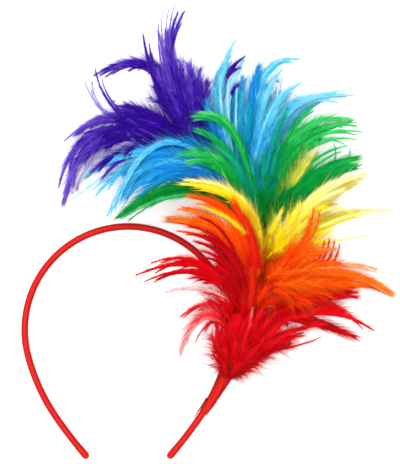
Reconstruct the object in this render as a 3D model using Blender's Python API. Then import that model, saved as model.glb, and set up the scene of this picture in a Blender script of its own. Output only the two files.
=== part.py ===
"""A feather fascinator: a satin covered headband with a plume of six colours bound to its right leg.

It lies on its side, as it would on a table. Seen from above, +X is to the right and +Y points out past the
crown. The origin is on the band's flat underside at the middle of the crown. Lengths are in metres.
"""

import math
from collections import namedtuple

import bmesh
import bpy
from mathutils import Vector

GAP = 0.0003
MERGE_DISTANCE = 0.000001

# The headband's centreline, as arcs from the crown to each tip.
Arc = namedtuple("Arc", "radius turn")
BAND_ARCS = (Arc(0.0676, 105), Arc(0.130, 20), Arc(0.300, 6.2))
BAND_HALF_LENGTH = sum(arc.radius * math.radians(arc.turn) for arc in BAND_ARCS)
BAND_HALF_THICKNESS = 0.00215
BAND_HALF_WIDTH = 0.0030
BAND_SIDES = 12
BAND_ROUNDING = 2.6
BAND_STEP = 0.0092
BAND_RING_CLEARANCE = 0.001
BAND_SHARP_ANGLE = 50
TIP_FLARE = 0.00035
TIP_FLARE_LENGTH = 0.016
# Share of the section left at each distance from the end of a tip.
TIP_ROUNDING = ((0.0030, 1.0), (0.0012, 0.78), (0.0, 0.36))

# The stretch of the right leg under the binding, as distances from the crown, where the cover is drawn in.
BOUND_START = 0.132
BOUND_END = 0.165
DRAWN_IN = 0.0009
DRAWN_IN_RAMP = 0.0016
# The cover gives less across the band's thickness than across its width.
DRAWN_IN_ACROSS = 0.6

# The binding's outer side, measured out from the band's centreline at each distance from the crown.
BindingRing = namedtuple("BindingRing", "distance inner outer height")
BINDING_RINGS = (
    BindingRing(0.1325, 0.0019, 0.0066, 0.0058),
    BindingRing(0.1345, 0.0025, 0.0074, 0.0066),
    BindingRing(0.1390, 0.0027, 0.0066, 0.0070),
    BindingRing(0.1440, 0.0027, 0.0056, 0.0070),
    BindingRing(0.1500, 0.0027, 0.0046, 0.0068),
    BindingRing(0.1560, 0.0026, 0.0040, 0.0067),
    BindingRing(0.1610, 0.0026, 0.0034, 0.0066),
    BindingRing(0.1645, 0.0024, 0.0027, 0.0063),
)
BINDING_SIDES = 16
BAND_TOOL_MARGIN = 0.012

# The stem's tail lies along the band's outer side: distance from the crown, offset out, height, radius.
TailPoint = namedtuple("TailPoint", "distance offset z radius")
TAIL_POINTS = (
    TailPoint(0.1590, 0.0023, 0.0033, 0.00040),
    TailPoint(0.1500, 0.0027, 0.0033, 0.00060),
    TailPoint(0.1420, 0.0036, 0.0035, 0.00085),
    TailPoint(0.1340, 0.0052, 0.0042, 0.00110),
)
# The rest of the stem, from the binding to its far end.
StemPoint = namedtuple("StemPoint", "x y z radius")
STEM_POINTS = (
    StemPoint(0.0735, -0.0795, 0.0105, 0.0012),
    StemPoint(0.0780, -0.0655, 0.0165, 0.0012),
    StemPoint(0.0818, -0.0520, 0.0215, 0.0012),
    StemPoint(0.0855, -0.0380, 0.0243, 0.0012),
    StemPoint(0.0874, -0.0240, 0.0250, 0.0012),
    StemPoint(0.0862, -0.0060, 0.0250, 0.0011),
    StemPoint(0.0785, 0.0125, 0.0250, 0.0011),
    StemPoint(0.0645, 0.0290, 0.0250, 0.0010),
    StemPoint(0.0455, 0.0460, 0.0245, 0.0008),
)
STEM_SAMPLES_PER_SPAN = 3
STEM_TOOL_REACH = 0.010
STEM_SHARP_ANGLE = 40

# The plume's middle height, and how far along a lock it takes to reach its own lane above or below it.
PLUME_Z = 0.025
LANE_REACH = 0.024
LOCK_RINGS = 6
LOCK_THICKNESS = 0.0026
LOCK_ROOT_WIDTH = 0.0030
LOCK_ROOT_OFFSET = 0.0028
LOCK_SWELL_SKEW = 0.8
LOCK_SWELL_FULLNESS = 0.75
LOCK_THINNING = 0.65
LOCK_TIP_WIDTH = 0.0002
LOCK_TIP_HALF_DEPTH = 0.0001
# Neighbouring locks lie one step further from the middle, in turn, so that they cross and don't coincide.
LANE_STEP = 0.00028
STEPS_PER_LANE = 5
FEATHER_SHARP_ANGLE = 30
COLLAR_RADIUS = 0.0042
COLLAR_END_SHARE = 0.62
COLLAR_MARGIN = 0.015
COLLAR_SAMPLES = 7

# A lock passes through via halfway along and ends at tip, both in plan. A side of 1 is above the stem and -1
# below it. Rise is how far the tip lies above its lane.
Lock = namedtuple("Lock", "via_x via_y tip_x tip_y width side rise")
# The locks fan from the right round to the left. The outer ones are rooted on the stem at the share first of
# its length and the middle ones at the share last, so that they don't cross.
Tier = namedtuple("Tier", "name colour first last lane locks")

TIERS = (
    Tier(
        "violet_feathers", (0.055, 0.010, 0.380), 0.90, 0.97, 0.0045,
        (
            Lock(0.061, 0.074, 0.074, 0.093, 0.007, -1, 0.002),
            Lock(0.061, 0.091, 0.078, 0.110, 0.008, 1, 0.004),
            Lock(0.052, 0.076, 0.052, 0.102, 0.009, -1, 0.001),
            Lock(0.046, 0.080, 0.047, 0.104, 0.010, 1, 0.006),
            Lock(0.027, 0.102, 0.039, 0.141, 0.012, 1, 0.006),
            Lock(0.024, 0.094, 0.025, 0.130, 0.012, -1, -0.0198),
            Lock(0.019, 0.090, 0.012, 0.126, 0.011, 1, 0.008),
            Lock(0.013, 0.103, -0.025, 0.096, 0.014, 1, -0.004),
            Lock(0.004, 0.078, -0.020, 0.103, 0.011, -1, -0.014),
            Lock(-0.004, 0.075, -0.043, 0.054, 0.013, -1, -0.018),
            Lock(-0.012, 0.068, -0.045, 0.022, 0.014, 1, -0.004),
            Lock(-0.008, 0.060, -0.043, 0.010, 0.013, -1, -0.0199),
            Lock(0.008, 0.054, -0.024, 0.032, 0.010, 1, -0.002),
        ),
    ),
    Tier(
        "blue_feathers", (0.010, 0.270, 0.800), 0.75, 0.80, 0.0085,
        (
            Lock(0.106, 0.068, 0.141, 0.081, 0.011, -1, -0.0160),
            Lock(0.103, 0.074, 0.149, 0.084, 0.011, 1, 0.002),
            Lock(0.083, 0.082, 0.114, 0.108, 0.014, 1, 0.004),
            Lock(0.080, 0.066, 0.094, 0.108, 0.012, -1, -0.004),
            Lock(0.074, 0.066, 0.075, 0.107, 0.012, 1, 0.004),
            Lock(0.066, 0.074, 0.072, 0.122, 0.011, -1, -0.002),
            Lock(0.063, 0.058, 0.061, 0.095, 0.009, 1, 0.002),
            Lock(0.030, 0.052, -0.020, 0.040, 0.011, 1, 0.002),
            Lock(0.018, 0.056, -0.041, 0.013, 0.010, 1, -0.002),
            Lock(0.018, 0.046, -0.030, 0.030, 0.011, -1, -0.004),
            Lock(0.014, 0.040, -0.022, 0.012, 0.010, 1, -0.003),
            Lock(0.016, 0.034, -0.014, -0.001, 0.010, 1, -0.005),
        ),
    ),
    Tier(
        "green_feathers", (0.005, 0.330, 0.030), 0.64, 0.69, 0.0125,
        (
            Lock(0.122, 0.024, 0.152, 0.040, 0.010, -1, -0.003),
            Lock(0.121, 0.034, 0.151, 0.046, 0.011, 1, 0.000),
            Lock(0.118, 0.040, 0.146, 0.053, 0.011, -1, -0.003),
            Lock(0.118, 0.048, 0.154, 0.061, 0.012, 1, 0.003),
            Lock(0.113, 0.050, 0.147, 0.069, 0.012, -1, -0.002),
            Lock(0.106, 0.042, 0.122, 0.078, 0.013, 1, 0.004),
            Lock(0.094, 0.036, 0.100, 0.066, 0.012, -1, -0.002),
            Lock(0.082, 0.030, 0.078, 0.064, 0.012, 1, 0.003),
            Lock(0.069, 0.044, 0.042, 0.071, 0.012, 1, 0.002),
            Lock(0.066, 0.034, 0.034, 0.050, 0.013, -1, -0.002),
            Lock(0.050, 0.028, 0.012, 0.018, 0.012, 1, 0.000),
            Lock(0.046, 0.022, -0.010, 0.003, 0.012, -1, 0.002),
        ),
    ),
    Tier(
        "yellow_feathers", (0.930, 0.600, 0.005), 0.555, 0.60, 0.0160,
        (
            Lock(0.124, -0.010, 0.159, -0.005, 0.008, 1, -0.002),
            Lock(0.130, 0.002, 0.165, 0.003, 0.010, -1, -0.002),
            Lock(0.136, 0.008, 0.174, 0.011, 0.011, 1, 0.001),
            Lock(0.122, 0.008, 0.148, 0.020, 0.011, -1, -0.001),
            Lock(0.126, 0.014, 0.156, 0.033, 0.011, 1, 0.003),
            Lock(0.112, 0.014, 0.124, 0.050, 0.011, -1, -0.001),
            Lock(0.098, -0.004, 0.102, 0.018, 0.010, 1, 0.004),
            Lock(0.082, 0.000, 0.074, 0.024, 0.010, -1, 0.000),
            Lock(0.070, 0.004, 0.047, 0.022, 0.010, 1, 0.002),
            Lock(0.064, 0.006, 0.030, 0.027, 0.011, 1, 0.000),
            Lock(0.070, -0.004, 0.047, 0.012, 0.010, -1, 0.002),
        ),
    ),
    Tier(
        "orange_feathers", (0.960, 0.170, 0.003), 0.475, 0.52, 0.0191,
        (
            Lock(0.114, -0.042, 0.136, -0.048, 0.011, -1, -0.001),
            Lock(0.130, -0.032, 0.161, -0.036, 0.012, -1, -0.001),
            Lock(0.138, -0.034, 0.176, -0.045, 0.012, 1, -0.002),
            Lock(0.122, -0.024, 0.152, -0.023, 0.013, 1, 0.000),
            Lock(0.115, -0.024, 0.142, -0.014, 0.013, -1, -0.001),
            Lock(0.110, -0.012, 0.124, 0.014, 0.012, 1, 0.003),
            Lock(0.102, -0.014, 0.112, 0.008, 0.012, -1, 0.000),
            Lock(0.080, -0.013, 0.067, 0.017, 0.012, 1, 0.002),
            Lock(0.064, -0.006, 0.037, 0.020, 0.011, 1, 0.002),
            Lock(0.058, -0.008, 0.023, 0.006, 0.012, 1, -0.003),
            Lock(0.061, -0.017, 0.030, -0.003, 0.012, 1, -0.006),
        ),
    ),
    Tier(
        "red_feathers", (0.720, 0.004, 0.010), 0.27, 0.41, 0.0226,
        (
            Lock(0.084, -0.084, 0.094, -0.092, 0.011, 1, -0.018),
            Lock(0.094, -0.078, 0.113, -0.078, 0.012, -1, 0.000),
            Lock(0.121, -0.062, 0.160, -0.069, 0.011, -1, 0.000),
            Lock(0.113, -0.057, 0.145, -0.062, 0.012, 1, -0.006),
            Lock(0.114, -0.050, 0.150, -0.046, 0.012, -1, 0.000),
            Lock(0.112, -0.044, 0.150, -0.039, 0.012, 1, -0.003),
            Lock(0.084, -0.036, 0.088, -0.018, 0.012, 1, 0.003),
            Lock(0.066, -0.032, 0.051, -0.010, 0.012, 1, 0.002),
            Lock(0.048, -0.022, 0.002, -0.033, 0.012, 1, -0.008),
            Lock(0.046, -0.031, 0.006, -0.037, 0.011, 1, -0.010),
            Lock(0.062, -0.042, 0.039, -0.036, 0.011, 1, -0.006),
            Lock(0.058, -0.058, 0.034, -0.062, 0.010, 1, -0.008),
            Lock(0.056, -0.072, 0.034, -0.086, 0.009, 1, -0.014),
            Lock(0.064, -0.080, 0.057, -0.090, 0.009, 1, -0.016),
        ),
    ),
)

SATIN_RED = (0.800, 0.018, 0.010)
BINDING_RED = (0.700, 0.012, 0.010)
QUILL_RED = (0.550, 0.020, 0.015)
SATIN_ROUGHNESS = 0.35
BINDING_ROUGHNESS = 0.40
QUILL_ROUGHNESS = 0.60
FEATHER_ROUGHNESS = 0.70


def clear_scene():
    for old in list(bpy.data.objects):
        bpy.data.objects.remove(old, do_unlink=True)


def new_collection(name):
    collection = bpy.data.collections.new(name)
    bpy.context.scene.collection.children.link(collection)
    return collection


def principled(name, colour, roughness):
    """A plain material of one colour."""
    material = bpy.data.materials.new(name)
    material.use_nodes = True
    shader = material.node_tree.nodes["Principled BSDF"]
    shader.inputs["Base Color"].default_value = (*colour, 1.0)
    shader.inputs["Roughness"].default_value = roughness
    shader.inputs["Metallic"].default_value = 0.0
    material.diffuse_color = (*colour, 1.0)
    return material


def smooth_step(share):
    share = min(max(share, 0.0), 1.0)
    return share * share * (3 - 2 * share)


def band_place(distance):
    """The centreline point and the outward direction at a signed distance from the crown, + to the right."""
    side = 1 if distance >= 0 else -1
    left = abs(distance)
    point = Vector((0.0, 0.0, 0.0))
    heading = 0.0
    for number, arc in enumerate(BAND_ARCS):
        length = arc.radius * math.radians(arc.turn)
        last = number == len(BAND_ARCS) - 1
        run = left if last else min(left, length)
        turn = run / arc.radius
        point.x += arc.radius * (math.sin(heading + turn) - math.sin(heading))
        point.y += arc.radius * (math.cos(heading + turn) - math.cos(heading))
        heading += turn
        left -= run
        if left <= 0:
            break
    outward = Vector((math.sin(heading) * side, math.cos(heading), 0.0))
    return Vector((point.x * side, point.y, 0.0)), outward


def oval(centre, outward, middle_z, half_out, half_up, sides, rounding):
    """A rounded section with a flat at the bottom, the top and both sides."""
    ring = []
    for number in range(sides):
        angle = math.tau * (number + 0.5) / sides
        cosine = math.cos(angle)
        sine = math.sin(angle)
        out = math.copysign(abs(cosine) ** (2 / rounding), cosine)
        up = math.copysign(abs(sine) ** (2 / rounding), sine)
        ring.append(centre + outward * (half_out * out) + Vector((0.0, 0.0, middle_z + half_up * up)))
    lowest = min(point.z for point in ring)
    highest = max(point.z for point in ring)
    scale = 2 * half_up / (highest - lowest)
    for point in ring:
        point.z = middle_z + (point.z - middle_z) * scale
    return ring


def loft(name, rings, collection, material=None):
    """A closed solid through rings that have the same number of points."""
    mesh = bpy.data.meshes.new(name)
    shape = bmesh.new()
    rows = [[shape.verts.new(point) for point in ring] for ring in rings]
    count = len(rings[0])
    for first, second in zip(rows, rows[1:]):
        for number in range(count):
            after = (number + 1) % count
            shape.faces.new((first[number], first[after], second[after], second[number]))
    shape.faces.new(rows[0])
    shape.faces.new(rows[-1])
    bmesh.ops.recalc_face_normals(shape, faces=shape.faces[:])
    shape.to_mesh(mesh)
    shape.free()
    made = bpy.data.objects.new(name, mesh)
    collection.objects.link(made)
    if material is not None:
        mesh.materials.append(material)
    return made


def tube(name, points, radii, collection, material=None):
    """A round tube along points with filled ends, made a mesh."""
    curve = bpy.data.curves.new(name, "CURVE")
    curve.dimensions = "3D"
    curve.bevel_depth = 1.0
    curve.bevel_resolution = 2
    curve.use_fill_caps = True
    spline = curve.splines.new("POLY")
    spline.points.add(len(points) - 1)
    for place, point, radius in zip(spline.points, points, radii):
        place.co = (*point, 1.0)
        place.radius = radius
    drawn = bpy.data.objects.new(name, curve)
    collection.objects.link(drawn)
    bpy.context.view_layer.update()
    evaluated = drawn.evaluated_get(bpy.context.evaluated_depsgraph_get())
    mesh = bpy.data.meshes.new_from_object(evaluated)
    shape = bmesh.new()
    shape.from_mesh(mesh)
    bmesh.ops.remove_doubles(shape, verts=shape.verts[:], dist=MERGE_DISTANCE)
    bmesh.ops.recalc_face_normals(shape, faces=shape.faces[:])
    shape.to_mesh(mesh)
    shape.free()
    made = bpy.data.objects.new(name, mesh)
    made.matrix_world = drawn.matrix_world
    bpy.data.objects.remove(drawn, do_unlink=True)
    made.name = name
    collection.objects.link(made)
    mesh.materials.clear()
    if material is not None:
        mesh.materials.append(material)
    return made


def hide_tool(tool):
    tool.hide_render = True
    tool.display_type = "WIRE"
    return tool


def boolean(target, tool, operation, solver="EXACT"):
    """Joins or cuts. Where many thin locks cross, the exact solver drops bodies and the manifold one doesn't."""
    modifier = target.modifiers.new(f"{operation.lower()} {tool.name}", "BOOLEAN")
    modifier.operation = operation
    modifier.solver = solver
    modifier.object = tool


def shade(made, angle):
    made.data.shade_smooth()
    made.data.set_sharp_from_angle(angle=math.radians(angle))


def settle(made):
    """Applies the joins and cuts, and keeps the largest shell.

    Crossing locks enclose specks of air or cut off chips, and those are left out.
    """
    evaluated = made.evaluated_get(bpy.context.evaluated_depsgraph_get())
    mesh = bpy.data.meshes.new_from_object(evaluated)
    shape = bmesh.new()
    shape.from_mesh(mesh)
    unseen = set(shape.verts)
    shells = []
    while unseen:
        shell = set()
        front = [unseen.pop()]
        while front:
            vertex = front.pop()
            shell.add(vertex)
            linked = {edge.other_vert(vertex) for edge in vertex.link_edges} & unseen
            unseen -= linked
            front += linked
        shells.append(shell)
    largest = max(shells, key=len)
    loose = [vertex for vertex in shape.verts if vertex not in largest]
    bmesh.ops.delete(shape, geom=loose, context="VERTS")
    shape.to_mesh(mesh)
    shape.free()
    made.modifiers.clear()
    made.data = mesh


def drawn_in(distance):
    """How far the band's cover is drawn in at a distance, under the binding."""
    into = smooth_step((distance - BOUND_START) / DRAWN_IN_RAMP + 1)
    out = smooth_step((BOUND_END - distance) / DRAWN_IN_RAMP + 1)
    return DRAWN_IN * min(into, out)


def band_distances():
    """Ring places from tip to tip, with one flat facet across the crown."""
    count = int((BAND_HALF_LENGTH - TIP_ROUNDING[0][0]) / BAND_STEP)
    half = [(number + 0.5) * BAND_STEP for number in range(count)]
    half += [BAND_HALF_LENGTH - before for before, share in TIP_ROUNDING]
    bound = [BOUND_START - DRAWN_IN_RAMP, BOUND_START, BOUND_END, BOUND_END + DRAWN_IN_RAMP]
    apart = [d for d in half if min(abs(d - edge) for edge in bound) > BAND_RING_CLEARANCE]
    right = sorted(apart + bound)
    return [-distance for distance in reversed(half)] + right


def band_ring(distance, grow):
    """The band's section at a distance, made larger all round by grow."""
    centre, outward = band_place(distance)
    to_end = BAND_HALF_LENGTH - abs(distance)
    flare = TIP_FLARE * smooth_step(1 - to_end / TIP_FLARE_LENGTH)
    share = 1.0
    for before, kept in TIP_ROUNDING:
        if to_end <= before + MERGE_DISTANCE:
            share = kept
    inset = drawn_in(distance)
    half_out = (BAND_HALF_THICKNESS + flare) * share - DRAWN_IN_ACROSS * inset + grow
    half_up = BAND_HALF_WIDTH * share - inset + grow
    return oval(centre, outward, BAND_HALF_WIDTH, half_out, half_up, BAND_SIDES, BAND_ROUNDING)


def build_headband(collection, material):
    rings = [band_ring(distance, 0.0) for distance in band_distances()]
    band = loft("headband", rings, collection, material)
    shade(band, BAND_SHARP_ANGLE)
    return band


def smooth_path(points, samples):
    """A smooth path through points of any number of values, with so many samples for each span."""
    padded = [points[0] * 2 - points[1], *points, points[-1] * 2 - points[-2]]
    path = []
    for a, b, c, d in zip(padded, padded[1:], padded[2:], padded[3:]):
        for number in range(samples):
            t = number / samples
            slope = c - a
            bend = a * 2 - b * 5 + c * 4 - d
            twist = b * 3 - a - c * 3 + d
            path.append((b * 2 + slope * t + bend * t ** 2 + twist * t ** 3) / 2)
    path.append(points[-1].copy())
    return path


def stem_knots():
    """The stem's hand set points, each with its radius as a fourth value."""
    knots = []
    for row in TAIL_POINTS:
        centre, outward = band_place(row.distance)
        place = centre + outward * row.offset
        knots.append(Vector((place.x, place.y, row.z, row.radius)))
    knots += [Vector(row) for row in STEM_POINTS]
    return knots


class Stem:
    """The stem's path, read by share of its length."""

    def __init__(self):
        samples = smooth_path(stem_knots(), STEM_SAMPLES_PER_SPAN)
        self.points = [Vector(sample[:3]) for sample in samples]
        self.radii = [sample[3] for sample in samples]
        self.distances = [0.0]
        for first, second in zip(self.points, self.points[1:]):
            self.distances.append(self.distances[-1] + (second - first).length)

    def at(self, share):
        wanted = share * self.distances[-1]
        for number in range(len(self.points) - 1):
            if self.distances[number + 1] >= wanted:
                break
        run = self.distances[number + 1] - self.distances[number]
        part = (wanted - self.distances[number]) / run
        return self.points[number].lerp(self.points[number + 1], part)


def build_stem(stem, collection, tools, material):
    """The stem, and the tool that clears its path through its neighbours."""
    made = tube("plume_stem", stem.points, stem.radii, collection, material)
    shade(made, STEM_SHARP_ANGLE)
    wider = [radius + GAP for radius in stem.radii]
    before = stem.points[0] + (stem.points[0] - stem.points[1]).normalized() * GAP
    beyond = stem.points[-1] + (stem.points[-1] - stem.points[-2]).normalized() * STEM_TOOL_REACH
    path = [before, *stem.points, beyond]
    radii = [wider[0], *wider, wider[-1]]
    return hide_tool(tube("stem path tool", path, radii, tools))


def build_binding(stem_tool, collection, tools, material):
    rings = []
    for row in BINDING_RINGS:
        centre, outward = band_place(row.distance)
        middle = centre + outward * ((row.outer - row.inner) / 2)
        half_out = (row.outer + row.inner) / 2
        half_up = row.height / 2
        rings.append(oval(middle, outward, half_up, half_out, half_up, BINDING_SIDES, BAND_ROUNDING))
    binding = loft("binding", rings, collection, material)
    start = BOUND_START - BAND_TOOL_MARGIN
    end = BOUND_END + BAND_TOOL_MARGIN
    near = [distance for distance in band_distances() if start < distance < end]
    band_tool = hide_tool(loft("band path tool", [band_ring(distance, GAP) for distance in near], tools))
    boolean(binding, band_tool, "DIFFERENCE")
    boolean(binding, stem_tool, "DIFFERENCE")
    shade(binding, BAND_SHARP_ANGLE)


def lock_width(share, widest):
    """A feather's width at a share of its length: slim at the root, full past the middle, pointed."""
    swell = math.sin(math.pi * min(share, 1.0) ** LOCK_SWELL_SKEW) ** LOCK_SWELL_FULLNESS
    return max(LOCK_ROOT_WIDTH * (1 - share) ** 2 + widest * swell, LOCK_TIP_WIDTH)


def lock_rings(row, root, lane):
    """Lens shaped sections from a root on the stem to a tip."""
    via = Vector((row.via_x, row.via_y))
    tip = Vector((row.tip_x, row.tip_y))
    start = root.to_2d()
    middle = via * 2 - (start + tip) / 2
    root_z = root.z + row.side * LOCK_ROOT_OFFSET
    lane_z = PLUME_Z + row.side * lane
    rings = []
    travelled = 0.0
    before = start
    for number in range(LOCK_RINGS + 1):
        t = number / LOCK_RINGS
        plan = start * (1 - t) ** 2 + middle * (2 * t * (1 - t)) + tip * t ** 2
        along = (middle - start) * (1 - t) + (tip - middle) * t
        travelled += (plan - before).length
        before = plan
        height = root_z + (lane_z - root_z) * smooth_step(travelled / LANE_REACH) + row.rise * t ** 3
        across = Vector((-along.y, along.x, 0.0)).normalized()
        place = Vector((plan.x, plan.y, height))
        half_width = lock_width(t, row.width) / 2
        half_depth = LOCK_THICKNESS / 2 * (1 - LOCK_THINNING * t) if t < 1 else LOCK_TIP_HALF_DEPTH
        up = Vector((0.0, 0.0, half_depth))
        rings.append([place + across * half_width, place + up, place - across * half_width, place - up])
    return rings


def build_tier(tier, stem, stem_tool, collection, tools):
    """One colour's feathers, fused to a collar round the stem."""
    material = principled(f"{tier.name} dyed", tier.colour, FEATHER_ROUGHNESS)
    start = tier.first - COLLAR_MARGIN
    end = tier.last + COLLAR_MARGIN
    collar_path = []
    collar_radii = []
    for number in range(COLLAR_SAMPLES):
        t = number / (COLLAR_SAMPLES - 1)
        collar_path.append(stem.at(start + (end - start) * t))
        collar_radii.append(COLLAR_RADIUS * (COLLAR_END_SHARE + (1 - COLLAR_END_SHARE) * math.sin(math.pi * t)))
    feathers = tube(tier.name, collar_path, collar_radii, collection, material)
    for number, row in enumerate(tier.locks):
        to_middle = 1 - abs(2 * number / (len(tier.locks) - 1) - 1)
        root = stem.at(tier.first + (tier.last - tier.first) * to_middle)
        lane = tier.lane + LANE_STEP * (number % STEPS_PER_LANE)
        lock = loft(f"{tier.name} lock {number + 1}", lock_rings(row, root, lane), tools)
        boolean(feathers, hide_tool(lock), "UNION", "MANIFOLD")
    boolean(feathers, stem_tool, "DIFFERENCE", "MANIFOLD")
    settle(feathers)
    shade(feathers, FEATHER_SHARP_ANGLE)


def main():
    clear_scene()
    parts = new_collection("feather fascinator")
    tools = new_collection("construction tools")
    stem = Stem()
    build_headband(parts, principled("satin", SATIN_RED, SATIN_ROUGHNESS))
    stem_tool = build_stem(stem, parts, tools, principled("quill", QUILL_RED, QUILL_ROUGHNESS))
    build_binding(stem_tool, parts, tools, principled("binding satin", BINDING_RED, BINDING_ROUGHNESS))
    for tier in TIERS:
        build_tier(tier, stem, stem_tool, parts, tools)


main()
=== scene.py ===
"""The feather fascinator, dressed: satin on the headband and its binding, and dyed feathers on the plume.

The headband lies on its side on a white table, seen from straight above. +X is to the right and +Y points
out past the crown. Lengths are in metres, and in millimetres in the tables of feathers.
"""

import math
import random
from collections import namedtuple

import bmesh
import bpy
from bpy.props import FloatProperty, FloatVectorProperty, IntProperty, PointerProperty
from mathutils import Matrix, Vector, noise


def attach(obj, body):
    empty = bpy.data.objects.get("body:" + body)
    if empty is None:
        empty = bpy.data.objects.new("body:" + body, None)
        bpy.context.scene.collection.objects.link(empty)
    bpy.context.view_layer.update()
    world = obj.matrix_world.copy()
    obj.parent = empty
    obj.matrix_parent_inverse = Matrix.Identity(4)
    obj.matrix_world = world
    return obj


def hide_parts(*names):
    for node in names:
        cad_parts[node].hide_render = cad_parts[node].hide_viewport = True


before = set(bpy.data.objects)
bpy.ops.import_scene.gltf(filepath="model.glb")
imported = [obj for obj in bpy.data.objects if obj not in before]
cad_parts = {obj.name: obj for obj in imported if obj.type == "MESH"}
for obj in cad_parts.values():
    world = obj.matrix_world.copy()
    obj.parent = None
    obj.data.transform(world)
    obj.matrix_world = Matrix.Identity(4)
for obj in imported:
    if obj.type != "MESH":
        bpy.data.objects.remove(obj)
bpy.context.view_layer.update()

bl_info = {
    "name": "Feather Fascinator",
    "version": (1, 0, 0),
    "blender": (4, 5, 0),
    "location": "3D View > Sidebar > Fascinator",
    "description": "Covers the headband in satin and dresses its plume with dyed feathers",
    "category": "Object",
}

MM = 0.001

# The headband's centreline, as arcs from the crown to each tip.
Arc = namedtuple("Arc", "radius turn")
BAND_ARCS = (Arc(0.0676, 105), Arc(0.130, 20), Arc(0.300, 6.2))
BAND_HALF_LENGTH = sum(arc.radius * math.radians(arc.turn) for arc in BAND_ARCS)
BAND_HALF_THICKNESS = 0.00225
BAND_HALF_WIDTH = 0.0030
BAND_ROUNDING = 2.6
BAND_SIDES = 32
BAND_STEP = 0.0020
TIP_FLARE = 0.00022
TIP_FLARE_LENGTH = 0.016
TIP_ROUND_LENGTH = 0.0030
TIP_ROUND_DEPTH = 0.88

# The stretch of the right leg under the binding, as distances from the crown.
BOUND_START = 0.132
BOUND_END = 0.163
DRAWN_IN = 0.0009
DRAWN_IN_RAMP = 0.0016
DRAWN_IN_ACROSS = 0.6

# The binding's outer side, measured out from the band's centreline at each distance from the crown.
BindingRing = namedtuple("BindingRing", "distance inner outer height")
BINDING_RINGS = (
    BindingRing(0.1325, 0.0019, 0.0066, 0.0058),
    BindingRing(0.1345, 0.0025, 0.0074, 0.0066),
    BindingRing(0.1390, 0.0027, 0.0066, 0.0070),
    BindingRing(0.1440, 0.0027, 0.0056, 0.0070),
    BindingRing(0.1500, 0.0027, 0.0046, 0.0068),
    BindingRing(0.1560, 0.0026, 0.0040, 0.0067),
    BindingRing(0.1610, 0.0026, 0.0034, 0.0066),
    BindingRing(0.1645, 0.0024, 0.0027, 0.0063),
)
BINDING_SIDES = 40
BINDING_SAMPLES_PER_SPAN = 12
BINDING_TURN = 0.0046
BINDING_RIDGE = 0.00022

# The stem's tail lies along the band's outer side: distance from the crown, offset out, height, radius.
TailPoint = namedtuple("TailPoint", "distance offset z radius")
TAIL_POINTS = (
    TailPoint(0.1590, 0.0023, 0.0033, 0.00040),
    TailPoint(0.1500, 0.0027, 0.0033, 0.00060),
    TailPoint(0.1420, 0.0036, 0.0035, 0.00085),
    TailPoint(0.1340, 0.0052, 0.0042, 0.00110),
)
StemPoint = namedtuple("StemPoint", "x y z radius")
STEM_POINTS = (
    StemPoint(0.0735, -0.0795, 0.0105, 0.0012),
    StemPoint(0.0780, -0.0655, 0.0165, 0.0012),
    StemPoint(0.0818, -0.0520, 0.0215, 0.0012),
    StemPoint(0.0855, -0.0380, 0.0243, 0.0012),
    StemPoint(0.0874, -0.0240, 0.0250, 0.0012),
    StemPoint(0.0862, -0.0060, 0.0250, 0.0011),
    StemPoint(0.0785, 0.0125, 0.0250, 0.0011),
    StemPoint(0.0645, 0.0290, 0.0250, 0.0010),
    StemPoint(0.0455, 0.0460, 0.0245, 0.0008),
)
STEM_SAMPLES_PER_SPAN = 3

# A thin quill that pokes out of the binding, past the end of the wrap.
QUILL_END = (
    StemPoint(0.0515, -0.1119, 0.0050, 0.00055),
    StemPoint(0.0489, -0.1162, 0.0052, 0.00052),
    StemPoint(0.0460, -0.1208, 0.0047, 0.00044),
    StemPoint(0.0432, -0.1253, 0.0038, 0.00020),
)
QUILL_SAMPLES_PER_SPAN = 4
QUILL_SIDES = 8

# How a satin cover looks: the slant of its ribs, how narrow the painted shade on its sides is, and how deep
# the painted shade in its folds shows.
Satin = namedtuple("Satin", "slant edge folds")
BAND_SATIN = Satin(0.0, 0.8, 0.6)
BINDING_SATIN = Satin(BINDING_TURN, 0.7, 2.2)
# How strongly painted shade darkens the satin towards its sides, and how much is taken off so that the
# middle stays a lighter line.
SATIN_SIDE_SHADE = 1.15
SATIN_SIDE_START = 0.16
SATIN_SHEEN = 0.10
SATIN_DEPTH = 0.00008

# The satin's long pulls, by metre of run and round the section, and the number of floats round it.
PULLS_RUN = 90
PULLS_ROUND = 2.5
FLOATS_ROUND = 22

# The quill's fibres, stretched along it, its patches, and how deep the fibres are.
QUILL_FIBRES = (900, 260, 900)
QUILL_PATCHES = 140.0
QUILL_DEPTH = 0.00006

PLUME_Z = 0.025
ROOT_OFFSET = 0.0012

# How a kind of feather is built: barb angles in degrees at the root and at the tip, how far the barbs stray,
# how many near copies a row gets, how thick the barbs are, the share of its width that holds together, and
# the run in metres that it takes to reach its lane.
Kind = namedtuple("Kind", "root_angle tip_angle stray copies thickness vane settle")
BLADE = Kind(24, 9, 0.05, 2, 1.0, 0.74, 0.024)
SOFT = Kind(42, 22, 0.18, 2, 1.0, 0.40, 0.024)
WISP = Kind(24, 8, 0.05, 0, 0.9, 0.60, 0.024)
TUFT = Kind(48, 28, 0.22, 2, 1.1, 0.30, 0.012)
DOWN = Kind(74, 40, 0.50, 2, 1.2, 0.10, 0.012)

# A feather is rooted at a share of the stem's length, passes through via halfway along and ends at tip. Via
# and tip are in plan, on a grid of squares. Width, and rise, how far the tip lies above its lane, are in
# millimetres. Tone runs from -1, deep, to 1, pale. It is partly each feather's own dye, and partly painted
# shade on feathers that lie deep in the plume or under others. Tint is the share of the neighbouring colour
# in the dye. A side of 1 is above the stem and -1 below it.
GRID = 0.00065
GRID_CENTRE = Vector((127.5, 226.5))
Feather = namedtuple(
    "Feather", "root via_x via_y tip_x tip_y width rise tone kind tint side", defaults=(0.0, 1)
)
BLENDED_FIELDS = Feather._fields.index("kind")

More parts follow.
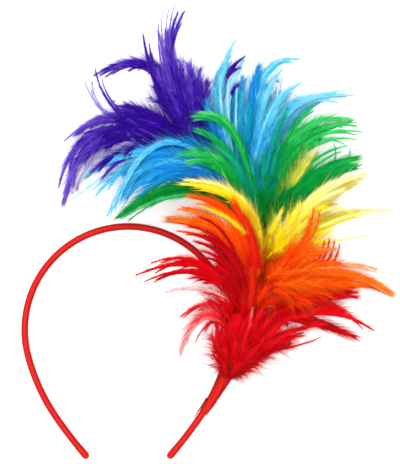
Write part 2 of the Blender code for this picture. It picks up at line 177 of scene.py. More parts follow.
VIOLET_ROWS = (
    (0.89, 219, 98, 247, 57, 7, 11, -0.1, BLADE),
    (0.89, 222, 118, 241, 84, 6, 10, -0.1, BLADE),
    (0.91, 212, 134, 217, 96, 9, 2, 0.1, SOFT),
    (0.93, 206, 112, 208, 78, 4, 4, 0.2, WISP),
    (0.94, 202, 106, 200, 66, 13, 3, 0.4, TUFT),
    (0.94, 197, 106, 186, 60, 15, 3, 0.4, SOFT),
    (0.93, 206, 116, 210, 80, 13, 2, 0.4, TUFT),
    (0.96, 186, 118, 170, 84, 16, 3, -0.1, DOWN),
    (0.93, 206, 130, 204, 92, 13, 2, -0.4, SOFT),
    (0.94, 200, 116, 203, 80, 9, 4, -0.1, SOFT),
    (0.95, 196, 110, 191, 62, 13, 4, 0.4, SOFT),
    (0.95, 190, 105, 178, 56, 14, 4, 0.3, SOFT),
    (0.96, 171, 80, 187, 9, 7, 7, 0.3, BLADE),
    (0.96, 172, 80, 176, 2, 3, 7, 0.8, WISP),
    (0.96, 170, 84, 163, 9, 2, 7, 1.0, WISP),
    (0.96, 170, 86, 170, 6, 2, 7, 0.9, WISP),
    (0.96, 168, 90, 159, 22, 2, 6, 0.8, WISP),
    (0.96, 182, 100, 166, 27, 9, 6, 0.3, BLADE),
    (0.96, 184, 110, 170, 60, 16, 3, -0.3, SOFT),
    (0.97, 178, 104, 158, 28, 8, 6, 0.4, BLADE),
    (0.97, 161, 95, 143, 31, 5, 6, 0.0, BLADE),
    (0.97, 176, 112, 155, 66, 15, 3, 0.2, SOFT),
    (0.96, 161, 72, 90, 79, 8, 0, 0.3, BLADE),
    (0.96, 160, 76, 99, 77, 8, -1, 0.1, BLADE),
    (0.96, 164, 78, 117, 72, 10, 0, 0.1, SOFT),
    (0.97, 172, 116, 152, 84, 12, 2, -0.2, SOFT),
    (0.96, 176, 120, 146, 96, 13, 1, 0.2, DOWN),
    (0.98, 125, 120, 95, 65, 4, 3, 0.3, WISP),
    (0.98, 127, 118, 102, 72, 3, 3, 0.7, WISP),
    (0.98, 118, 122, 84, 78, 5, 2, 1.5, SOFT, 0.0, 0.1),
    (0.98, 158, 118, 113, 107, 12, 3, 0.0, SOFT),
    (0.98, 160, 124, 118, 113, 14, 3, -0.1, SOFT),
    (0.97, 130, 116, 61, 145, 5, 2, 0.6, BLADE),
    (0.97, 138, 120, 88, 132, 8, 2, 0.1, SOFT),
    (0.96, 136, 127, 96, 146, 13, 2, -0.1, SOFT),
    (0.96, 104, 131, 58, 193, 8, -3, 0.5, BLADE),
    (0.96, 107, 137, 62, 211, 10, -4, 0.6, BLADE),
    (0.96, 116, 146, 70, 200, 15, -8, 2.0, SOFT),
    (0.95, 126, 138, 82, 168, 12, 0, 0.0, SOFT),
    (0.95, 140, 138, 104, 152, 15, 2, -0.2, SOFT),
    (0.94, 140, 151, 89, 176, 8, 10, 0.0, BLADE),
    (0.94, 146, 152, 100, 183, 6, 10, 0.1, BLADE),
    (0.93, 158, 146, 122, 158, 14, 6, -0.3, SOFT),
    (0.93, 172, 148, 140, 162, 13, 6, -0.3, SOFT),
    (0.96, 182, 100, 166, 28, 12, -19, -0.1, BLADE, 0.0, -1),
    (0.97, 126, 120, 72, 138, 9, -18, 0.2, BLADE, 0.0, -1),
    (0.96, 115, 134, 61, 211, 12, -19, 0.6, BLADE, 0.0, -1),
)
BLUE_ROWS = (
    (0.76, 282, 116, 359, 98, 6, 2, 1.0, BLADE),
    (0.76, 282, 120, 350, 91, 4, 2, 1.2, WISP),
    (0.76, 276, 124, 318, 97, 12, 1, 0.9, SOFT),
    (0.77, 268, 120, 302, 84, 6, 3, 0.9, BLADE),
    (0.77, 272, 140, 298, 106, 15, 0, 0.7, SOFT, 0.2),
    (0.77, 262, 110, 283, 71, 6, 3, 0.9, BLADE),
    (0.77, 264, 138, 284, 98, 17, 1, 0.5, SOFT, 0.25),
    (0.78, 257, 92, 302, 61, 7, 4, 0.7, BLADE),
    (0.78, 256, 96, 290, 58, 9, 3, 1.2, SOFT),
    (0.78, 256, 130, 266, 84, 17, 1, 0.4, SOFT, 0.15),
    (0.79, 250, 112, 260, 66, 9, 3, -0.2, BLADE),
    (0.78, 264, 132, 282, 94, 24, 0, 0.8, SOFT, 0.0, 0.7),
    (0.78, 254, 130, 258, 86, 24, 0, 0.6, SOFT, 0.0, 0.7),
    (0.77, 278, 136, 304, 104, 22, 0, 0.8, SOFT, 0.0, 0.7),
    (0.79, 246, 142, 248, 98, 16, 1, 0.0, SOFT, 0.35),
    (0.80, 232, 128, 237, 82, 14, 0, 0.1, SOFT, 0.0, 0.7),
    (0.80, 238, 122, 246, 76, 13, 0, 0.2, SOFT, 0.0, 0.6),
    (0.79, 236, 132, 237, 86, 3, 4, 1.2, WISP),
    (0.79, 240, 126, 243, 90, 8, 2, 0.2, SOFT, 0.25),
    (0.80, 226, 115, 246, 58, 7, 3, 1.4, BLADE),
    (0.80, 219, 106, 238, 38, 7, 5, 0.9, BLADE),
    (0.80, 220, 112, 231, 52, 10, 4, 0.7, SOFT),
    (0.80, 229, 132, 229, 78, 3, 6, 1.4, WISP),
    (0.81, 224, 130, 220, 88, 4, 6, 1.1, WISP),
    (0.81, 222, 132, 214, 84, 8, 3, 0.3, SOFT),
    (0.82, 214, 132, 208, 100, 9, 2, 0.0, SOFT),
    (0.82, 226, 158, 212, 132, 13, 1, -0.7, SOFT),
    (0.80, 206, 150, 180, 144, 11, 1, -0.9, SOFT),
    (0.80, 192, 148, 150, 154, 9, 1, -1.3, SOFT),
    (0.80, 165, 143, 108, 224, 5, 5, 0.8, BLADE),
    (0.80, 158, 153, 82, 180, 8, 1, 0.5, BLADE),
    (0.80, 160, 160, 65, 206, 6, -3, 1.5, BLADE),
    (0.79, 162, 158, 93, 200, 9, -1, 0.6, BLADE),
    (0.79, 176, 156, 118, 180, 15, 1, -0.2, SOFT),
    (0.79, 172, 154, 118, 206, 11, 2, 0.2, BLADE),
    (0.78, 165, 162, 104, 223, 9, -1, 0.8, BLADE),
    (0.78, 176, 166, 124, 204, 13, 1, 0.1, BLADE),
    (0.78, 188, 168, 138, 190, 14, 1, -0.1, SOFT),
    (0.77, 182, 174, 134, 208, 12, 0, 0.0, BLADE),
    (0.77, 194, 180, 150, 202, 13, 0, -0.4, SOFT),
    (0.77, 206, 184, 168, 196, 12, 0, -0.6, SOFT),
    (0.77, 292, 118, 350, 96, 8, -12, 1.1, BLADE, 0.0, -1),
    (0.79, 222, 132, 228, 64, 11, -3, 0.4, BLADE, 0.0, -1),
    (0.79, 156, 156, 82, 180, 11, -4, 0.5, BLADE, 0.0, -1),
)
GREEN_ROWS = (
    (0.63, 305, 196, 342, 176, 9, -2, 0.3, SOFT, 0.0, 1.12),
    (0.63, 306, 188, 360, 164, 10, -1, 0.0, BLADE, 0.0, 1.12),
    (0.63, 305, 182, 361, 157, 10, 0, -0.1, BLADE, 0.0, 1.12),
    (0.64, 300, 172, 350, 146, 4, 2, 0.5, WISP),
    (0.64, 302, 178, 342, 152, 4, 2, 0.6, WISP),
    (0.64, 322, 182, 332, 143, 2, 3, -0.2, WISP),
    (0.64, 330, 188, 348, 148, 2, 3, 0.0, WISP),
    (0.65, 300, 156, 359, 141, 5, 2, 0.8, BLADE, 0.0, 0.8),
    (0.65, 299, 150, 366, 134, 5, 3, 0.8, BLADE, 0.0, 0.8),
    (0.65, 296, 146, 360, 128, 7, 3, 0.6, BLADE, 0.0, 0.8),
    (0.65, 292, 140, 355, 122, 8, 4, 0.7, BLADE, 0.0, 0.8),
    (0.65, 286, 170, 322, 138, 13, 1, 0.1, SOFT, 0.0, 0.8),
    (0.66, 280, 184, 304, 146, 14, 1, -0.3, SOFT, 0.0, 0.8),
    (0.66, 282, 150, 315, 106, 5, 4, 0.2, BLADE, 0.0, 0.8),
    (0.66, 283, 154, 306, 114, 5, 3, 0.4, SOFT, 0.0, 0.8),
    (0.67, 270, 152, 289, 106, 8, 2, 0.1, SOFT, 0.35),
    (0.67, 268, 184, 280, 140, 12, 1, -0.2, SOFT, 0.15),
    (0.67, 262, 190, 264, 150, 12, 1, -0.3, SOFT, 0.25),
    (0.68, 256, 192, 248, 152, 11, 1, -0.2, SOFT, 0.45),
    (0.64, 264, 206, 268, 172, 13, 1, -0.6, SOFT),
    (0.64, 258, 206, 252, 172, 13, 1, -0.6, SOFT),
    (0.64, 276, 208, 294, 184, 12, 0, -0.6, SOFT, 0.0, 1.1),
    (0.66, 236, 140, 190, 119, 6, 5, 0.3, BLADE),
    (0.66, 236, 136, 196, 115, 6, 4, 0.6, SOFT),
    (0.66, 234, 160, 192, 129, 5, 4, 0.1, BLADE),
    (0.66, 242, 178, 214, 146, 8, 2, -0.1, BLADE, 0.2),
    (0.65, 228, 168, 177, 157, 9, 3, 0.5, BLADE),
    (0.65, 226, 172, 182, 164, 9, 2, 0.6, SOFT),
    (0.65, 238, 186, 206, 166, 12, 1, 0.0, BLADE),
    (0.65, 246, 204, 226, 180, 11, 1, -0.3, SOFT),
    (0.64, 190, 188, 112, 222, 9, 0, -0.5, BLADE),
    (0.64, 196, 190, 134, 206, 9, 0, -0.4, SOFT),
    (0.64, 194, 195, 116, 223, 6, -2, 0.8, SOFT),
    (0.64, 314, 182, 358, 168, 9, -3, 0.3, BLADE, 0.0, -1),
    (0.65, 302, 150, 354, 122, 11, -2, 0.2, BLADE, 0.0, -1),
    (0.66, 230, 174, 180, 155, 12, -2, 0.0, BLADE, 0.0, -1),
    (0.64, 198, 192, 112, 222, 11, 2, -0.3, BLADE, 0.0, -1),
)
YELLOW_ROWS = (
    (0.54, 322, 244, 375, 236, 3, 0, 1.2, WISP),
    (0.55, 332, 222, 396, 210, 3.5, 2, 1.3, WISP),
    (0.55, 322, 226, 372, 213, 4.5, 1, 0.5, BLADE),
    (0.55, 318, 214, 354, 217, 2.5, 3, 0.6, WISP),
    (0.56, 314, 198, 369, 175, 8, 2, 1.4, BLADE),
    (0.56, 306, 210, 346, 189, 9, 1, 1.2, SOFT),
    (0.56, 296, 222, 328, 206, 13, 1, 0.3, SOFT),
    (0.55, 300, 240, 334, 230, 12, 1, 0.1, SOFT),
    (0.56, 292, 236, 314, 212, 14, 2, 0.2, SOFT),
    (0.57, 284, 228, 302, 200, 11, 2, 0.1, SOFT),
    (0.58, 294, 186, 317, 149, 10, 1, 0.6, SOFT, 0.4, 0.82),
    (0.58, 289, 190, 309, 156, 13, 1, 0.3, SOFT, 0.6, 0.81),
    (0.58, 284, 196, 300, 166, 13, 1, 0.2, SOFT, 0.75, 0.79),
    (0.55, 296, 248, 330, 240, 14, 1, 0.1, SOFT),
    (0.55, 284, 256, 312, 252, 14, 1, 0.0, SOFT),
    (0.56, 284, 240, 304, 220, 16, 3, 0.2, DOWN),
    (0.56, 280, 248, 296, 230, 16, 3, 0.1, DOWN),
    (0.57, 274, 246, 282, 224, 14, 3, 0.1, SOFT),
    (0.57, 269, 238, 283, 207, 5, 6, 0.3, BLADE),
    (0.57, 268, 248, 270, 226, 9, 4, 0.0, SOFT),
    (0.57, 256, 232, 244, 210, 9, 2, -0.5, SOFT, 0.2),
    (0.57, 240, 203, 174, 184, 7, 2, 0.1, BLADE),
    (0.57, 240, 199, 178, 181, 9, 1, 1.0, SOFT),
    (0.57, 244, 209, 196, 190, 8, 1, -0.5, BLADE, 0.12),
    (0.57, 250, 220, 224, 200, 9, 1, -0.6, SOFT, 0.2),
    (0.55, 238, 227, 200, 207, 5, 1, -0.8, WISP, 0.15, 1.22),
    (0.55, 312, 212, 366, 176, 11, 0, 0.6, BLADE, 0.0, -1),
    (0.56, 320, 222, 394, 210, 7, -2, 0.4, BLADE, 0.0, -1),
    (0.57, 234, 214, 176, 186, 10, 0, 0.1, BLADE, 0.0, -1),
)
ORANGE_ROWS = (
    (0.48, 335, 272, 396, 296, 8, -3, 0.6, BLADE),
    (0.48, 328, 266, 380, 274, 8, -2, 1.3, SOFT),
    (0.48, 318, 280, 366, 286, 10, -2, 0.2, SOFT),
    (0.48, 302, 282, 350, 286, 15, 0, 0.0, SOFT),
    (0.49, 302, 268, 344, 262, 15, 1, 0.0, SOFT),
    (0.49, 300, 256, 338, 250, 6, 2, 0.6, WISP),
    (0.49, 296, 262, 332, 248, 14, 1, 0.1, SOFT),
    (0.50, 286, 262, 316, 240, 14, 2, 0.1, SOFT),
    (0.51, 304, 246, 318, 208, 3, 5, 0.2, SOFT, 0.0, 1.0),
    (0.51, 300, 243, 312, 204, 5, 4, 0.0, SOFT, 0.1, 1.0),
    (0.51, 296, 250, 309, 215, 6, 3, -0.1, SOFT, 0.0, 1.0),
    (0.51, 280, 262, 298, 238, 13, 2, 0.0, SOFT),
    (0.52, 270, 266, 280, 252, 11, 2, -0.1, SOFT),
    (0.48, 312, 284, 344, 284, 12, 0, 0.0, SOFT),
    (0.48, 302, 289, 330, 295, 12, 0, -0.1, SOFT, 0.45),
    (0.48, 291, 293, 312, 304, 13, 1, 0.0, SOFT, 0.6),
    (0.48, 280, 293, 296, 309, 12, 1, 0.0, DOWN, 0.6),
    (0.48, 270, 292, 276, 308, 12, 1, 0.0, DOWN, 0.4),
    (0.47, 290, 282, 322, 284, 16, 1, 0.1, TUFT, 0.0, 1.15),
    (0.47, 286, 274, 312, 268, 16, 1, 0.1, TUFT, 0.0, 1.15),
    (0.46, 276, 284, 300, 284, 16, 1, 0.2, TUFT, 0.0, 1.2),
    (0.46, 270, 276, 286, 264, 15, 1, 0.2, TUFT, 0.0, 1.25),
    (0.46, 274, 290, 292, 296, 15, 1, 0.1, TUFT, 0.1, 1.2),
    (0.45, 266, 296, 276, 306, 13, 0, 0.0, TUFT, 0.3, 1.15),
    (0.46, 262, 284, 266, 274, 14, 2, 0.3, TUFT, 0.0, 1.35),
    (0.46, 252, 286, 247, 284, 13, 1, 0.2, TUFT, 0.0, 1.45),
    (0.48, 256, 278, 250, 272, 12, 1, 0.2, TUFT, 0.0, 1.4),
    (0.44, 254, 294, 249, 293, 12, 1, 0.1, TUFT, 0.2, 1.4),
    (0.42, 252, 250, 231, 200, 11, 1, -0.3, BLADE, 0.75),
    (0.42, 253, 254, 240, 212, 12, 2, -0.2, SOFT, 0.85),
    (0.42, 255, 262, 249, 234, 12, 2, -0.2, SOFT, 0.9),
    (0.44, 237, 222, 184, 196, 7, 2, 0.0, BLADE, 0.3),
    (0.44, 235, 226, 192, 204, 7, 1, 0.2, SOFT),
    (0.44, 226, 230, 172, 210, 7, 0, 0.5, SOFT),
    (0.44, 226, 236, 162, 217, 6, 0, 0.3, BLADE),
    (0.44, 224, 230, 178, 208, 11, -1, 0.0, SOFT, 0.12, 0.85),
    (0.43, 222, 242, 182, 221, 10, -1, -0.2, SOFT, 0.3, 0.85),
    (0.44, 234, 240, 192, 219, 8, 1, 0.0, BLADE, 0.25),
    (0.43, 228, 246, 184, 227, 6, 0, 0.0, BLADE, 0.35),
    (0.43, 224, 248, 172, 231, 5, -2, 0.1, BLADE, 0.2),
    (0.43, 241, 256, 216, 238, 10, 1, -0.2, SOFT, 0.6),
    (0.42, 244, 262, 224, 240, 11, 1, -0.2, SOFT, 0.8),
    (0.49, 328, 276, 395, 295, 11, -3, 0.2, BLADE, 0.0, -1),
    (0.50, 296, 248, 316, 214, 11, 0, 0.0, BLADE, 0.0, -1),
    (0.47, 222, 238, 166, 220, 11, -2, 0.1, BLADE, 0.0, -1),
)
RED_ROWS = (
    (0.20, 296, 345, 320, 336, 2, -4, 0.6, WISP, 0.0, 0.5),
    (0.24, 292, 330, 330, 322, 8, -3, 0.2, SOFT, 0.0, 0.55),
    (0.30, 318, 312, 376, 333, 6, -5, 0.3, BLADE, 0.0, 0.66),
    (0.30, 316, 307, 354, 320, 12, -3, 0.9, SOFT, 0.0, 0.62),
    (0.32, 300, 310, 346, 312, 13, -2, 0.0, SOFT, 0.0, 0.66),
    (0.34, 310, 300, 360, 297, 8, -2, -0.2, BLADE, 0.0, 0.66),
    (0.34, 312, 294, 359, 287, 7, -2, -0.1, BLADE, 0.0, 0.66),
    (0.34, 302, 300, 344, 292, 15, -1, -0.1, SOFT, 0.0, 0.66),
    (0.28, 282, 310, 318, 302, 15, 0, 0.0, SOFT, 0.0, 0.75),
    (0.26, 278, 320, 312, 316, 15, 0, 0.1, SOFT, 0.0, 0.75),
    (0.46, 306, 272, 323, 237, 3.4, 1, -1.0, WISP, 0.0, 0.8),
    (0.46, 310, 272, 328, 235, 3.6, 1, -1.2, WISP, 0.0, 0.8),
    (0.46, 314, 272, 333, 238, 3.6, 1, -1.1, WISP, 0.0, 0.8),
    (0.46, 318, 274, 338, 241, 3.4, 1, -1.2, WISP, 0.0, 0.8),
    (0.18, 272, 344, 308, 334, 9, -8, 0.3, SOFT, 0.0, 0.8),
    (0.17, 262, 348, 300, 326, 13, -5, 0.2, SOFT, 0.0, 0.9),
    (0.16, 256, 346, 292, 314, 14, -4, 0.2, SOFT, 0.0, 0.9),
    (0.15, 250, 344, 280, 306, 15, -3, 0.2, SOFT, 0.0, 0.9),
    (0.14, 245, 340, 268, 298, 15, -2, 0.3, SOFT, 0.0, 0.86),
    (0.13, 240, 338, 256, 294, 15, -1, 0.2, SOFT, 0.0, 0.86),
    (0.13, 234, 338, 244, 294, 15, -1, 0.3, SOFT, 0.0, 0.86),
    (0.12, 229, 340, 234, 296, 14, -2, 0.2, SOFT, 0.0, 0.86),
    (0.12, 224, 344, 225, 304, 12, -3, 0.1, SOFT, 0.0, 0.86),
    (0.12, 220, 350, 216, 314, 10, -4, 0.3, SOFT, 0.0, 0.9),
    (0.13, 245, 336, 252, 306, 3, 2, 0.85, WISP),
    (0.13, 226, 358, 222, 332, 14, 0, 0.2, TUFT, 0.0, 0.86),
    (0.13, 233, 356, 236, 330, 16, 0, 0.3, TUFT, 0.0, 0.92),
    (0.13, 240, 356, 250, 332, 16, 0, 0.2, TUFT, 0.0, 0.92),
    (0.13, 246, 356, 266, 338, 14, 0, 0.3, TUFT, 0.0, 0.88),
    (0.13, 256, 354, 288, 338, 11, -2, 0.3, TUFT, 0.0, 0.7),
    (0.12, 236, 366, 242, 350, 12, 1, 0.4, TUFT, 0.0, 0.8),
    (0.12, 225, 368, 219, 350, 11, 1, 0.3, TUFT, 0.0, 0.8),
    (0.12, 248, 366, 272, 354, 14, -2, 0.6, DOWN, 0.0, 0.5),
    (0.13, 262, 356, 296, 342, 12, -3, 0.7, DOWN, 0.0, 0.4),
    (0.12, 242, 370, 262, 366, 13, -2, 0.6, DOWN, 0.0, 0.3),
    (0.12, 218, 362, 209, 350, 14, -2, 0.5, DOWN, 0.0, 0.3),
    (0.13, 218, 350, 208, 330, 14, -2, 0.5, DOWN, 0.0, 0.5),
    (0.30, 258, 300, 268, 284, 12, 0, 0.2, SOFT, 0.5, 0.95),
    (0.30, 262, 306, 280, 298, 12, 0, 0.2, SOFT, 0.3, 0.95),
    (0.25, 242, 300, 236, 262, 14, -2, 0.0, SOFT),
    (0.27, 250, 296, 252, 262, 14, -2, 0.0, SOFT, 0.2),
    (0.30, 240, 282, 224, 246, 10, -1, -0.4, SOFT),
    (0.37, 232, 246, 196, 216, 3, 0, -1.1, WISP, 0.0, 0.9),
    (0.37, 228, 250, 186, 226, 3, 0, -0.9, WISP, 0.0, 0.9),
    (0.34, 236, 264, 205, 240, 5, -1, -1.0, BLADE),
    (0.34, 230, 258, 184, 232, 4, -2, -1.1, BLADE),
    (0.33, 228, 264, 190, 241, 5, -2, -1.0, BLADE),
    (0.33, 230, 270, 198, 251, 6, -3, -0.7, BLADE),
    (0.32, 236, 284, 212, 264, 10, -2, -0.4, SOFT),
    (0.31, 206, 268, 130, 278, 6, -7, -0.2, BLADE),
    (0.31, 206, 266, 146, 265, 8, -6, 0.1, SOFT),
    (0.31, 208, 274, 139, 284, 5, -8, -0.3, BLADE),
    (0.30, 222, 284, 186, 280, 7, -5, -0.3, BLADE),
    (0.30, 226, 290, 200, 284, 10, -4, 0.0, SOFT),
    (0.28, 224, 300, 200, 292, 12, -5, 0.0, SOFT),
    (0.30, 214, 292, 158, 294, 6, -12, 1.9, SOFT),
    (0.26, 215, 304, 179, 322, 5, -8, 0.1, BLADE),
    (0.24, 220, 308, 194, 314, 10, -8, 0.3, SOFT),
    (0.26, 206, 314, 178, 361, 11, -15, 1.45, BLADE),
    (0.24, 214, 322, 192, 350, 2.5, -14, 0.2, WISP),
    (0.23, 218, 320, 202, 338, 9, -13, 1.0, SOFT),
    (0.40, 306, 320, 360, 340, 11, -1, 0.1, BLADE, 0.0, -1),
    (0.42, 308, 300, 356, 290, 11, -1, 0.0, BLADE, 0.0, -1),
    (0.13, 252, 352, 286, 332, 15, 0, -0.1, SOFT, 0.0, 0.5),
    (0.13, 256, 350, 294, 338, 15, 0, -0.2, SOFT, 0.0, 0.15),
    (0.13, 244, 342, 262, 310, 15, 0, -0.1, SOFT, 0.0, 0.45),
    (0.30, 268, 346, 300, 346, 11, 0, 0.1, SOFT, 0.0, -1),
)

# The tiers from the stem's far end to its base: the colour that tints a tier's feathers, and how far its two
# lanes lie above and below the stem.
Tier = namedtuple("Tier", "name neighbour lane rows")
TIERS = (
    Tier("violet", "blue", 0.0045, VIOLET_ROWS),
    Tier("blue", "green", 0.0085, BLUE_ROWS),
    Tier("green", "blue", 0.0125, GREEN_ROWS),
    Tier("yellow", "green", 0.0160, YELLOW_ROWS),
    Tier("orange", "red", 0.0191, ORANGE_ROWS),
    Tier("red", "orange", 0.0226, RED_ROWS),
)

# A feather's line: its points, how far its vane stops short of the tip, how fast its roll fades, and the
# radius of its shaft.
GUIDE_POINTS = 16
TIP_CLEARANCE = 0.004
UNROLL = 0.4
SHAFT_ROOT = 0.00030
SHAFT_TIP = 0.00008

# The vane: its thickness, how far its rims hang by width, how its width swells and narrows, how ragged its
# rims are, and the noise that rags them, scaled by run, feather and side.
VANE_DEPTH = 0.00012
VANE_DROP = 0.28
VANE_ROOT_POWER = 0.75
VANE_TIP_POWER = 0.8
RAG_MEAN = 0.88
RAG_SPREAD = 0.3
RAG_SCALES = (260, 3.7, 9.1)
# RIM_OUTWARD places a vane's rims that far out along the barbs for the material, so that they take the
# painted light of thin barb ends.
RIM_OUTWARD = 0.7

# The shortest and the longest reach of a barb.
MIN_REACH = 0.0028
MAX_REACH = 0.020

# How copies of a row stray: the spread of their tips in squares of the grid, where they end between via and
# tip, how their tone moves, and the most that they roll, in degrees. The tone of under copies leans deeper
# and that of filler always goes deeper, as painted shade below the stem and between the lanes. A via strays
# less, by VIA_STRAY.
Stray = namedtuple("Stray", "spread trim tone roll")
NEAR = Stray(2.2, (0.72, 1.0), (-0.3, 0.3), 30)
UNDER = Stray(4.0, (0.6, 0.95), (-0.3, 0.1), 30)
FILLER = Stray(3.0, (0.1, 0.6), (-0.5, -0.1), 70)
VIA_STRAY = 0.6
COPY_WIDTHS = (0.7, 1.0)
ROW_ROLL = 14
ROOT_STRAY = 0.012

# Where the copies lie: a near copy about its row's height, one below the stem, and filler between the lanes.
# The tips of the last two rise less than their rows do.
NEAR_HEIGHTS = (-0.0026, 0.0004)
UNDER_HEIGHTS = (0.0, 0.003)
FILLER_SIDES = (-1, 0.6)
UNDER_RISE = 0.2
FILLER_RISE = 0.3

# Barbs: where they start along the shaft, above which stray they curl, and how flat and how thick they are.
FIRST_BARB = 0.05
CURLY_STRAY = 0.3
NEEDLE_FLATNESS = 0.5
LEAST_THICK = 0.8
MORE_THICK = 0.5

# How clumps of barbs and lone barbs turn, lift, bend, reach and streak. Looseness and long hairs go up with
# a kind's stray. Long hairs are rare, by HAIR_RARITY. The steps set feathers and sides apart in the noise.
NUMBER_STEP = 7.31
SIDE_STEP = 31.7
CLUMP_TURN = 5.0
LONE_TURN = 0.5
CLUMP_LIFT = 0.4
LONE_LIFT = 0.10
CLUMP_BEND = 0.5
CLUMP_CURL = 3.0
MEAN_REACH = 0.85
CLUMP_REACH = 0.6
CLUMP_STREAK = 1.6
LONE_STREAK = 0.7
LEAST_LOOSE = 0.35
STRAY_LOOSE = 3.0
HAIR_RARITY = 6
LEAST_HAIRS = 0.35
STRAY_HAIRS = 2.2
KEPT_ATTRIBUTES = {
    "position", "along", "outward", "tone", "tint", "streak", "run", "number", "sharp_face", "custom_normal",
}

# Normals lean from the barb's own to the feather's facing by SILK, so that a feather shines as one. A normal
# that faces further away than FACED_AWAY belongs to the feather's back.
SILK = 0.52
FACED_AWAY = -0.3

# What moves a barb's colour from deep to pale, and where the ramp's four colours lie on that way: the dye's
# deep, main and light colours and a paler one. Deep at the roots and by the shafts is painted shade. Pale at
# the tips, the barb ends and the rims is painted light, as thin barbs let it through. The row's tone is
# partly dye and partly painted shade. The cloud is soft noise through the whole plume, and clumps and fine
# noise follow each feather's run, by the metre.
CLOUD_SCALE = 110.0
CLUMPS_RUN = 420
FINE_RUN = 1500
NUMBER_OFFSET = 7.3
TONE_START = 0.06
TONE_OF_ROW = 0.31
TONE_ALONG = 0.38
TONE_OUTWARD = 0.20
TONE_STREAK = 0.22
TONE_CLOUD = 0.25
TONE_CLUMPS = 0.34
TONE_FINE = 0.42
DYE_PLACES = (0.0, 0.42, 0.72, 1.0)
FEATHER_SHEEN = 0.04

UP = Vector((0.0, 0.0, 1.0))
TABLE_CLEARANCE = 0.0003
PLUME_TOP = 0.0590
COVER_UV = "cover"

TABLE_HALF = 30.0
TABLE_Z = -0.0003
TABLE_SHEEN = 0.1
TABLE_GLOW = 0.42
ROOM_LIGHT = 0.95
WHITE = (1.0, 1.0, 1.0, 1.0)

# The camera's picture is PICTURE_HEIGHT tall at the height of the plume.
CAMERA_PLACE = (0.0471, -0.0036, 2.5)
SENSOR = 36.0
PICTURE_Z = 0.02
PICTURE_HEIGHT = 0.3016

# Even light from the whole ceiling, and a softer window past the crown.
Lamp = namedtuple("Lamp", "name energy spread towards")
LAMPS = (
    Lamp("soft ceiling", 1.0, 50, (0.0, 0.05, 1.0)),
    Lamp("soft window", 1.0, 60, (-0.45, 0.75, 1.0)),
)


class Graph:
    """A node tree, written as expressions on wrapped sockets."""

    def __init__(self, tree):
        self.tree = tree
        tree.nodes.clear()

    def node(self, kind, settings=None, values=None):
        """Adds a node: its settings first, then the values or links of its sockets."""
        made = self.tree.nodes.new(kind)
        for name, value in (settings or {}).items():
            if name == "stops":
                self.stops(made.color_ramp, value)
            else:
                setattr(made, name, value)
        for name, value in (values or {}).items():
            if isinstance(value, Wire):
                self.tree.links.new(value.socket, made.inputs[name])
            else:
                made.inputs[name].default_value = value
        return made

    def stops(self, ramp, stops):
        while len(ramp.elements) < len(stops):
            ramp.elements.new(1.0)
        for element, (place, colour) in zip(ramp.elements, stops):
            element.position = place
            element.color = (*colour, 1.0)

    def wire(self, kind, settings=None, values=None, output=0):
        """Adds a node and returns one of its outputs, wrapped."""
        return Wire(self, self.node(kind, settings, values).outputs[output])

    def vector(self, operation, *values):
        """A Vector Math node."""
        return self.wire("ShaderNodeVectorMath", {"operation": operation}, dict(enumerate(values)))

    def scaled(self, vector, factor):
        values = {0: vector, "Scale": factor}
        return self.wire("ShaderNodeVectorMath", {"operation": "SCALE"}, values)

    def xyz(self, x, y, z):
        return self.wire("ShaderNodeCombineXYZ", None, {0: x, 1: y, 2: z})

    def mix_colours(self, share, first, second):
        settings = {"data_type": "RGBA", "clamp_factor": True}
        first = first if isinstance(first, Wire) else (*first, 1.0)
        second = second if isinstance(second, Wire) else (*second, 1.0)
        return self.wire("ShaderNodeMix", settings, {0: share, 6: first, 7: second}, 2)


class Wire:
    """An output socket, so that sums on it are written as Python expressions."""

    def __init__(self, graph, socket):
        self.graph = graph
        self.socket = socket

    def maths(self, operation, *others, clamp=False):
        settings = {"operation": operation, "use_clamp": clamp}
        return self.graph.wire("ShaderNodeMath", settings, dict(enumerate((self, *others))))

    def reflected(self, operation, first):
        return self.graph.wire("ShaderNodeMath", {"operation": operation}, {0: first, 1: self})

    def __add__(self, other):
        return self.maths("ADD", other)

    __radd__ = __add__

    def __sub__(self, other):
        return self.maths("SUBTRACT", other)

    def __rsub__(self, other):
        return self.reflected("SUBTRACT", other)

    def __mul__(self, other):
        return self.maths("MULTIPLY", other)

    def __pow__(self, other):
        return self.maths("POWER", other)

    def clamped(self):
        return self.maths("ADD", 0.0, clamp=True)


def smooth_step(share):
    share = min(max(share, 0.0), 1.0)
    return share * share * (3 - 2 * share)


def band_place(distance):
    """The centreline point and the outward direction at a signed distance from the crown, + to the right."""
    side = 1 if distance >= 0 else -1
    left = abs(distance)
    point = Vector((0.0, 0.0, 0.0))
    heading = 0.0
    for number, arc in enumerate(BAND_ARCS):
        length = arc.radius * math.radians(arc.turn)
        last = number == len(BAND_ARCS) - 1
        run = left if last else min(left, length)
        turn = run / arc.radius
        point.x += arc.radius * (math.sin(heading + turn) - math.sin(heading))
        point.y += arc.radius * (math.cos(heading + turn) - math.cos(heading))
        heading += turn
        left -= run
        if left <= 0:
            break
    outward = Vector((math.sin(heading) * side, math.cos(heading), 0.0))
    return Vector((point.x * side, point.y, 0.0)), outward


def smooth_path(points, samples):
    """A smooth path through points of any number of values, with so many samples for each span."""
    padded = [points[0] * 2 - points[1], *points, points[-1] * 2 - points[-2]]
    path = []
    for a, b, c, d in zip(padded, padded[1:], padded[2:], padded[3:]):
        for number in range(samples):
            t = number / samples
            slope = c - a
            bend = a * 2 - b * 5 + c * 4 - d
            twist = b * 3 - a - c * 3 + d
            path.append((b * 2 + slope * t + bend * t ** 2 + twist * t ** 3) / 2)
    path.append(points[-1].copy())
    return path


